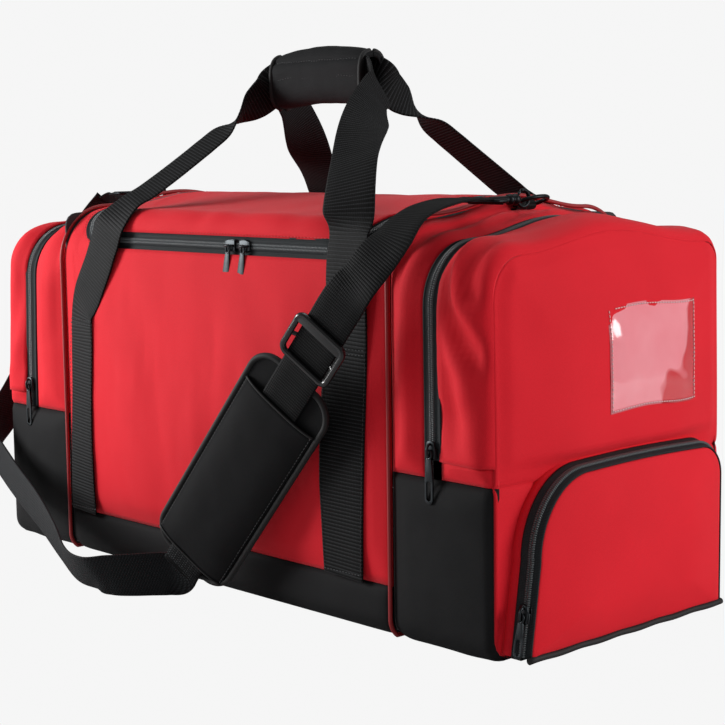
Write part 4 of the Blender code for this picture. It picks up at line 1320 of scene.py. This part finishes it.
def build_grip_half(side, sign):
    """Padded half of the hand wrap: crowned sleeve, bound ends and two sewn lines."""
    low_x, high_x = GRIP_LOW.x, GRIP_HIGH.x
    half_y, half_z = 0.0160, (GRIP_HIGH.z - GRIP_LOW.z) / 2
    stations, sides, power = 64, 36, 0.72
    sewn_levels = (0.50, -0.10)

    def ring_point(x, angle, grow):
        share = (x - low_x) / (high_x - low_x)
        droop = -0.0055 * (2 * share - 1) ** 2
        ease = 1 - 0.10 * (abs(2 * share - 1) ** 6)
        c, s = math.cos(angle), math.sin(angle)
        y = (half_y * ease + grow) * abs(c) ** power
        z = (half_z * ease + grow) * math.copysign(abs(s) ** power, s)
        return y, GRIP_MID + z + droop

    def at(i, j):
        x = lerp(low_x, high_x, i / stations)
        angle = lerp(-math.pi / 2, math.pi / 2, j / sides)
        z = ring_point(x, angle, 0.0)[1]
        height = (z - GRIP_MID) / half_z
        groove = 0.0
        for level in sewn_levels:
            groove -= 0.0011 * bump(height, level, 0.05)
        plump = 0.0007 * ripple(x, z, 0.4, 30.0) + 0.0009 * bump(height, 0.22, 0.2)
        y2, z2 = ring_point(x, angle, groove + plump)
        y3, z3 = ring_point(x, angle, -0.0045)
        outer = Vector((x, sign * max(y2, 0.0004), z2))
        return outer, Vector((x, sign * max(y3, 0.0004), z3)), (x, angle * 0.022)

    build = Build()
    sheet(build, stations + 1, sides + 1, at)
    for x, way in ((low_x, 1), (high_x, -1)):
        path = []
        for j in range(41):
            angle = lerp(-math.pi / 2, math.pi / 2, j / 40)
            y, z = ring_point(x + way * 0.002, angle, 0.0004)
            path.append(Vector((x + way * 0.0018, sign * max(y, 0.0024), z)))
        tube(build, path, 0.0022, 8, pick=1, up=(1, 0, 0))
    for level in sewn_levels:
        path = []
        for i in range(50):
            x = lerp(low_x + 0.008, high_x - 0.008, i / 49)
            best = min(
                (abs((ring_point(x, lerp(-1.5, 1.5, j / 80), 0)[1] - GRIP_MID) / half_z - level), j)
                for j in range(81)
            )[1]
            y, z = ring_point(x, lerp(-1.5, 1.5, best / 80), -0.0008)
            path.append((Vector((x, sign * y, z)), Vector((0, sign, 0))))
        stitches(build, path, 0.0036, 0.0024, 0.0003, pick=2)
    build.make(f"{side}_grip_wrap", [GRIP, BINDING, THREAD_DARK], f"{side}_handle", [f"grip_{side}_half"])


# ---------------------------------------------------------------- shoulder strap

PAD_TOP = Vector((0.164, -0.186, 0.2095))
PAD_FOOT = Vector((0.010, -0.186, 0.0335))
PAD_AXIS = (PAD_FOOT - PAD_TOP).normalized()
PAD_ACROSS = Vector((0.45, -0.88, 0.12)).cross(PAD_AXIS).normalized()
PAD_OUT = PAD_AXIS.cross(PAD_ACROSS).normalized()
STRAP_HUB = pivot("strap_swing")
STRAP_WIDE = 0.038
TAB_WIDE = 0.024


def strap_width(stations):
    """Stations of (centre, across) with the strap's width added."""
    return [(centre, across, STRAP_WIDE) for centre, across in stations]


def build_strap():
    """The shoulder strap, from the right hook through the adjuster and the pad to the left hook."""
    px, py, pz = STRAP_HUB
    eye_y = py - 0.0480
    stations = [
        ((px, eye_y + 0.0035, pz - 0.0030), (1, 0, 0)),
        ((px, eye_y - 0.0020, pz + 0.0012), (1, 0, 0)),
        ((px, eye_y - 0.0120, pz + 0.0010), (1, 0, 0)),
        ((px + 0.001, -0.100, 0.3500), (1, 0, 0)),
        ((px + 0.002, -0.130, 0.3450), (1, 0, 0)),
        ((px + 0.001, -0.150, 0.3360), (1, 0, 0)),
        ((0.2530, -0.1640, 0.3220), (0.97, 0, -0.25)),
        ((0.2455, -0.1750, 0.3070), (0.80, 0.0, -0.60)),
        ((0.2350, -0.1830, 0.2900), (0.80, 0.0, -0.60)),
    ]
    for reach in (0.086, 0.040, 0.0):
        stations.append((PAD_TOP - PAD_AXIS * reach, -PAD_ACROSS))
    stations.append(((PAD_TOP + PAD_FOOT) / 2, -PAD_ACROSS))
    stations.append((PAD_FOOT, -PAD_ACROSS))
    stations.append((PAD_FOOT + PAD_AXIS * 0.0062, -PAD_ACROSS))
    webbing("strap_upper_web", strap_width(stations), STRAP_WEB, "strap", ["strap_upper_webbing"])
    build_pad()
    build_adjuster()
    build_tail()


def pad_frame(u, v, w):
    return (PAD_TOP + PAD_FOOT) / 2 + PAD_AXIS * u + PAD_ACROSS * v + PAD_OUT * w


def rounded(half_u, half_v, radius, count=12):
    """Rounded rectangle outline as (u, v)."""
    points = []
    for cu, cv, start in ((1, 1, 0), (-1, 1, 1), (-1, -1, 2), (1, -1, 3)):
        for k in range(count + 1):
            angle = (start + k / count) * math.pi / 2
            points.append((cu * (half_u - radius) + radius * math.cos(angle),
                           cv * (half_v - radius) + radius * math.sin(angle)))
    return points


def build_pad():
    """Rounded pad bound all round, with the sleeve that the webbing runs through."""
    outline = rounded(0.117, 0.042, 0.022)
    dense = []
    for (u, v), (nu, nv) in zip(outline, outline[1:] + outline[:1]):
        steps = max(1, round(math.hypot(nu - u, nv - v) / 0.006))
        dense += [(lerp(u, nu, n / steps), lerp(v, nv, n / steps)) for n in range(steps)]

    def at(layer, share, u, v):
        fill = smooth(1 - share, 0.0, 0.35)
        if layer == 0:
            w = -0.0035 + 0.0014 * fill
        else:
            w = -0.0050 - 0.0030 * fill + 0.0006 * ripple(u, v, 0.7, 30.0)
        return pad_frame(u * share, v * share, w), (u * share, v * share)

    build = Build()
    cushion(build, dense, [1.0, 0.97, 0.92, 0.85, 0.75, 0.6, 0.4, 0.2], at,
            [(pad_frame(0, 0, w), (0.0, 0.0)) for w in (-0.0021, -0.0080)])
    path = [pad_frame(u * 0.985, v * 0.985, -0.0042) for u, v in dense]
    tube(build, path, 0.0026, 10, closed=True, pick=1, squash=1.1, up=PAD_OUT)

    us, vs = 40, 24
    top, foot, wide, full = -0.083, 0.106, 0.0380, 0.0068

    def sleeve(i, j):
        u, a = lerp(top, foot, i / us), lerp(-1, 1, j / vs)
        v = a * wide
        end = min(u - top, foot - u)
        crown = full * (1 - abs(a) ** 3.2) * lerp(0.62, 1.0, smooth(end, 0.0, 0.03))
        soft = 0.0007 * ripple(u, v, 0.1, 26.0) * (1 - a * a)
        w = -0.0017 + crown + soft
        return pad_frame(u, v, w), pad_frame(u, v, w - 0.0014), (u, v)

    sheet(build, us + 1, vs + 1, sleeve)
    for u in (top, foot):
        path = []
        for j in range(25):
            a = lerp(-1, 1, j / 24)
            path.append(pad_frame(u, a * wide, -0.0014 + full * (1 - abs(a) ** 3.2) * 0.62))
        tube(build, path, 0.0011, 8, pick=1)
    for v in (-wide + 0.001, wide - 0.001):
        path = [(pad_frame(lerp(top, foot, k / 40), v, -0.0006), PAD_OUT) for k in range(41)]
        stitches(build, path, 0.0036, 0.0024, 0.0003, pick=2)
    build.make("shoulder_pad", [PADDING, BINDING, THREAD_DARK], "pad", ["strap_pad"])


def build_adjuster():
    """Three-bar slide adjuster: the middle bar lies under the webbing."""
    seat = PAD_TOP - PAD_AXIS * 0.0345

    def at(v, u, w):
        return seat + PAD_ACROSS * v + PAD_AXIS * u + PAD_OUT * w

    build = Build()
    outline = rounded(0.0190, 0.0242, 0.0060, 8)
    tube(build, [at(v, u, 0.0026) for u, v in outline], 0.0027, 10, closed=True, up=PAD_OUT)
    low = [at(lerp(-0.0235, 0.0235, k / 10), 0.002, -0.0030 + 0.0050 * abs(2 * k / 10 - 1) ** 6)
           for k in range(11)]
    tube(build, low, 0.0019, 10, up=PAD_OUT)
    plate = rounded(0.0034, 0.0238, 0.0025, 5)
    slab(build, [(v, u) for u, v in plate], 0.0030, lambda v, u, w: at(v, u - 0.0155, 0.0032 + w))
    obj = build.make("slide_adjuster", [PLASTIC], "adjuster", ["strap_adjuster"])
    soften(obj, 0.0006, 3)


TAIL = [
    (PAD_FOOT + PAD_AXIS * 0.0150, (0.66, 0.25, -0.70)),
    ((-0.0084, -0.1895, 0.0216), (0.45, 0.14, -0.86)),
    ((-0.0180, -0.1995, 0.0213), (0.18, 0.04, -0.97)),
    ((-0.0290, -0.2145, 0.0213), (0.10, 0.10, -0.95)),
    ((-0.0420, -0.2280, 0.0214), (0.08, 0.25, -0.85)),
    ((-0.0600, -0.2370, 0.0217), (0.10, 0.45, -0.75)),
    ((-0.095, -0.233, 0.0235), (0.0, 0.40, -0.90)),
    ((-0.150, -0.212, 0.0330), (0.0, 0.20, -0.95)),
    ((-0.215, -0.190, 0.0480), (0.0, 0.10, -1.0)),
    ((-0.285, -0.173, 0.0680), (0.0, 0.05, -1.0)),
    ((-0.335, -0.164, 0.0900), (0.0, 0.05, -1.0)),
    ((-0.356, -0.148, 0.1100), (0.0, 0.25, -1.0)),
    ((-0.360, -0.120, 0.1420), (0.0, 0.60, -0.80)),
    ((-0.357, -0.085, 0.1950), (0.0, 0.85, -0.55)),
    ((-0.353, -0.052, 0.2600), (0.0, 0.95, -0.30)),
    ((-0.350, -0.030, 0.3100), (0.0, 1.0, -0.10)),
    ((-0.344, -0.009, 0.3380), (0.0, 1.0, 0.0)),
    ((-0.333, -0.001, 0.3455), (0.0, 1.0, 0.0)),
    ((-0.3190, 0.0, 0.3484), (0.0, 1.0, 0.0)),
]


def build_tail():
    """Lower webbing in four lengths."""
    first = [(PAD_FOOT - PAD_AXIS * 0.012, PAD_ACROSS), (PAD_FOOT + PAD_AXIS * 0.004, PAD_ACROSS)]
    spans = [first + TAIL[:11], TAIL[10:14], TAIL[13:17], TAIL[16:]]
    last = TAIL[-1][0]
    spans[3] = spans[3] + [((last[0] + 0.007, 0.0, last[2] + 0.0004), (0.0, 1.0, 0.0))]
    spans = [strap_width(span) for span in spans]
    loop = webbing("tail_loop", spans[0], TWILL, None, ["strap_lower_webbing"])
    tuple(TAIL[7][0])
    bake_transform(loop)
    rise = webbing("tail_corner", spans[1], TWILL)
    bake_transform(rise)
    webbing("tail_rise", spans[2], TWILL, "left_end_cap")
    end = webbing("tail_top", spans[3], TWILL)
    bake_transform(end)


# ---------------------------------------------------------------- rings and hooks

def build_hardware():
    """D-rings, the webbing tabs that hold them, and the two snap hooks."""
    for side, sign in (("left", -1), ("right", 1)):
        bar = pivot(f"{side}_ring_swing")
        lean = math.radians(20 if sign > 0 else 16)
        half, reach, r = 0.0150, 0.0215, 0.0018
        flat = [(0.0, lerp(-half, half, k / 8)) for k in range(1, 8)]
        for k in range(25):
            angle = math.pi / 2 - k * math.pi / 24
            flat.append((reach - half * 0.72 + half * 0.72 * math.cos(angle), half * math.sin(angle)))
        path = [bar + Vector((sign * a * math.cos(lean), y, a * math.sin(lean))) for a, y in flat]
        build = Build()
        tube(build, path, r, 10, closed=True)
        build.make(f"{side}_ring", [SATIN], f"{side}_ring", [f"{side}_d_ring"])

        seam = sign * (SEAM_X + 0.0032)
        low = bar.z - 0.0033
        spots = [(seam, 0, low), (bar.x - sign * 0.001, 0, low)]
        for k in range(1, 6):
            angle = -math.pi / 2 + k * math.pi / 6
            spots.append((bar.x + sign * 0.0033 * math.cos(angle), 0, bar.z + 0.0033 * math.sin(angle)))
        spots += [(bar.x - sign * 0.001, 0, bar.z + 0.0033), (seam, 0, bar.z + 0.0022)]
        webbing(f"{side}_tab_web", [(spot, (0, 1, 0), TAB_WIDE) for spot in spots], STRAP_WEB,
                "bag_body", [f"{side}_ring_tab"], thick=0.0014)

    hook("right", STRAP_HUB, Vector((0, -1, 0)), Vector((1, 0, 0)), "strap", "right_gate")
    hook("left", pivot("left_hook_swing"), Vector((-1, 0, 0)), Vector((0, 1, 0)),
         "left_strap_end", "left_gate")


def hook(side, wire, along, across, body, gate_body):
    """Swivel snap hook: claw, gate, swivel barrel and the eye that holds the webbing."""
    up = Vector((0, 0, 1))

    def at(a, u, c=0.0):
        return wire + along * a + up * u + across * c

    build = Build()
    path = []
    for k in range(34):
        angle = math.radians(-14 - k * 8.5)
        path.append(at(0.0068 * math.cos(angle), 0.0068 * math.sin(angle)))
    tube(build, path, [0.0014 + 0.0004 * math.sin(math.pi * k / 33) for k in range(34)], 10, up=across)
    barrel = [at(0.0060 + k * 0.0011, -0.0006) for k in range(14)]
    shape = [0.0022, 0.0040, 0.0046, 0.0048, 0.0048, 0.0046, 0.0036, 0.0032, 0.0044, 0.0047, 0.0047,
             0.0044, 0.0034, 0.0024]
    tube(build, barrel, shape, 16, up=across)
    shank = [at(0.0190 + 0.0010 * k, -0.0006) for k in range(22)]
    tube(build, shank, [0.0030] * 22, 12, up=across)
    eye = rounded(0.0072, 0.0212, 0.0040, 6)
    tube(build, [at(0.0480 + u, -0.0006, v) for u, v in eye], 0.0017, 10, closed=True, up=up)
    build.make(f"{side}_snap_hook", [SATIN], body, [f"{side}_hook"])

    build = Build()
    a0, a1 = math.radians(30), math.radians(62)
    start = at(0.0068 * math.cos(a0), 0.0068 * math.sin(a0))
    stop = at(0.0068 * math.cos(a1), 0.0068 * math.sin(a1))
    path = [start.lerp(stop, 0.04 + 0.92 * k / 6) for k in range(7)]
    tube(build, path, [0.0009, 0.0012, 0.0012, 0.0012, 0.0012, 0.0012, 0.0009], 10)
    build.make(f"{side}_snap_gate", [GUNMETAL], gate_body, [f"{side}_hook_gate"])


# ---------------------------------------------------------------- what stays from the CAD

def dress_cad():
    """Materials of the CAD nodes that are shown as they are."""
    for node, mat in (("base_board", BOARD), ("left_divider", LINING), ("right_divider", LINING)):
        obj = frame["nodes"][node]
        obj.data.materials.clear()
        obj.data.materials.append(mat)


# ---------------------------------------------------------------- stage

BACKDROP = (0.92, 0.92, 0.92, 1.0)

def camera_sees(tree, seen, other, surface):
    """Camera rays get the shader seen, and every other ray gets other."""
    path = tree.nodes.new("ShaderNodeLightPath")
    choose = tree.nodes.new("ShaderNodeMixShader")
    tree.links.new(path.outputs["Is Camera Ray"], choose.inputs[0])
    tree.links.new(other, choose.inputs[1])
    tree.links.new(seen, choose.inputs[2])
    tree.links.new(choose.outputs[0], surface)


def build_stage():
    """A floor and a world that light the bag, and that the camera sees as one even backdrop."""
    g = Graph("pale_floor")
    speck = g.noise(3.0, 2.0)
    g.set(Base_Color=g.mix(speck, colour(0.60, 0.60, 0.60), colour(0.64, 0.64, 0.64)), Roughness=0.8)
    glow = g.node("Emission", Color=BACKDROP).outputs[0]
    camera_sees(g.tree, glow, g.shader.outputs[0], g.tree.nodes["Material Output"].inputs["Surface"])
    turns = [2 * math.pi * k / 24 for k in range(24)]
    mesh = bpy.data.meshes.new("floor")
    mesh.from_pydata([(14 * math.cos(t), 14 * math.sin(t), -0.0005) for t in turns], [], [list(range(24))])
    mesh.materials.append(g.mat)
    floor = bpy.data.objects.new("floor", mesh)
    bpy.context.scene.collection.objects.link(floor)
    floor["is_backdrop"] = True

    world = bpy.data.worlds.new("studio")
    bpy.context.scene.world = world
    world.use_nodes = True
    tree = world.node_tree
    sky = tree.nodes["Background"]
    sky.inputs["Color"].default_value = (0.93, 0.93, 0.935, 1.0)
    sky.inputs["Strength"].default_value = 0.25
    seen = tree.nodes.new("ShaderNodeBackground")
    seen.inputs["Color"].default_value = BACKDROP
    camera_sees(tree, seen.outputs[0], sky.outputs[0], tree.nodes["World Output"].inputs["Surface"])


def area_light(name, place, aim, size, power):
    data = bpy.data.lights.new(name, "AREA")
    data.shape = "RECTANGLE"
    data.size, data.size_y = size
    data.energy = power
    obj = bpy.data.objects.new(name, data)
    obj.location = place
    obj.rotation_mode = "QUATERNION"
    obj.rotation_quaternion = (Vector(aim) - Vector(place)).to_track_quat("-Z", "Y")
    bpy.context.scene.collection.objects.link(obj)


def build_camera():
    """The camera that took the photo, as it was fitted to the bag's outline."""
    data = bpy.data.cameras.new("camera")
    data.sensor_width = 36.0
    data.lens = 85.0
    camera = bpy.data.objects.new("camera", data)
    back = Vector((0.7255, -0.6772, 0.1226)).normalized()
    turn_quat = (-back).to_track_quat("-Z", "Y")
    roll = Matrix.Rotation(math.radians(-0.76), 3, "Z")
    camera.rotation_mode = "QUATERNION"
    camera.rotation_quaternion = (turn_quat.to_matrix() @ roll).to_quaternion()
    camera.location = (1.188, -1.069, 0.389)
    bpy.context.scene.collection.objects.link(camera)
    bpy.context.scene.camera = camera


def main():
    build_main()
    build_main_zip()
    build_end("left", -1, LEFT_ZIP)
    build_end("right", 1, RIGHT_ZIP)
    build_piping()
    build_window()
    build_pocket()
    build_sliders()
    build_handle("front", -1)
    build_handle("back", 1)
    build_strap()
    build_hardware()
    dress_cad()
    build_stage()
    area_light("key", (-1.10, -1.00, 0.55), (-0.20, -0.1, 0.2), (0.6, 0.6), 22.0)
    area_light("side", (1.8, 0.75, 0.65), (0.3, 0.05, 0.18), (0.8, 0.8), 20.0)
    area_light("top", (0.0, 0.3, 2.1), (0, 0, 0.3), (1.2, 1.2), 9.0)
    build_camera()
    bpy.context.scene.view_settings.view_transform = "Standard"


main()
boxes = [[list(corner) for corner in box] for box in (CAD_BOX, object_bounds())]
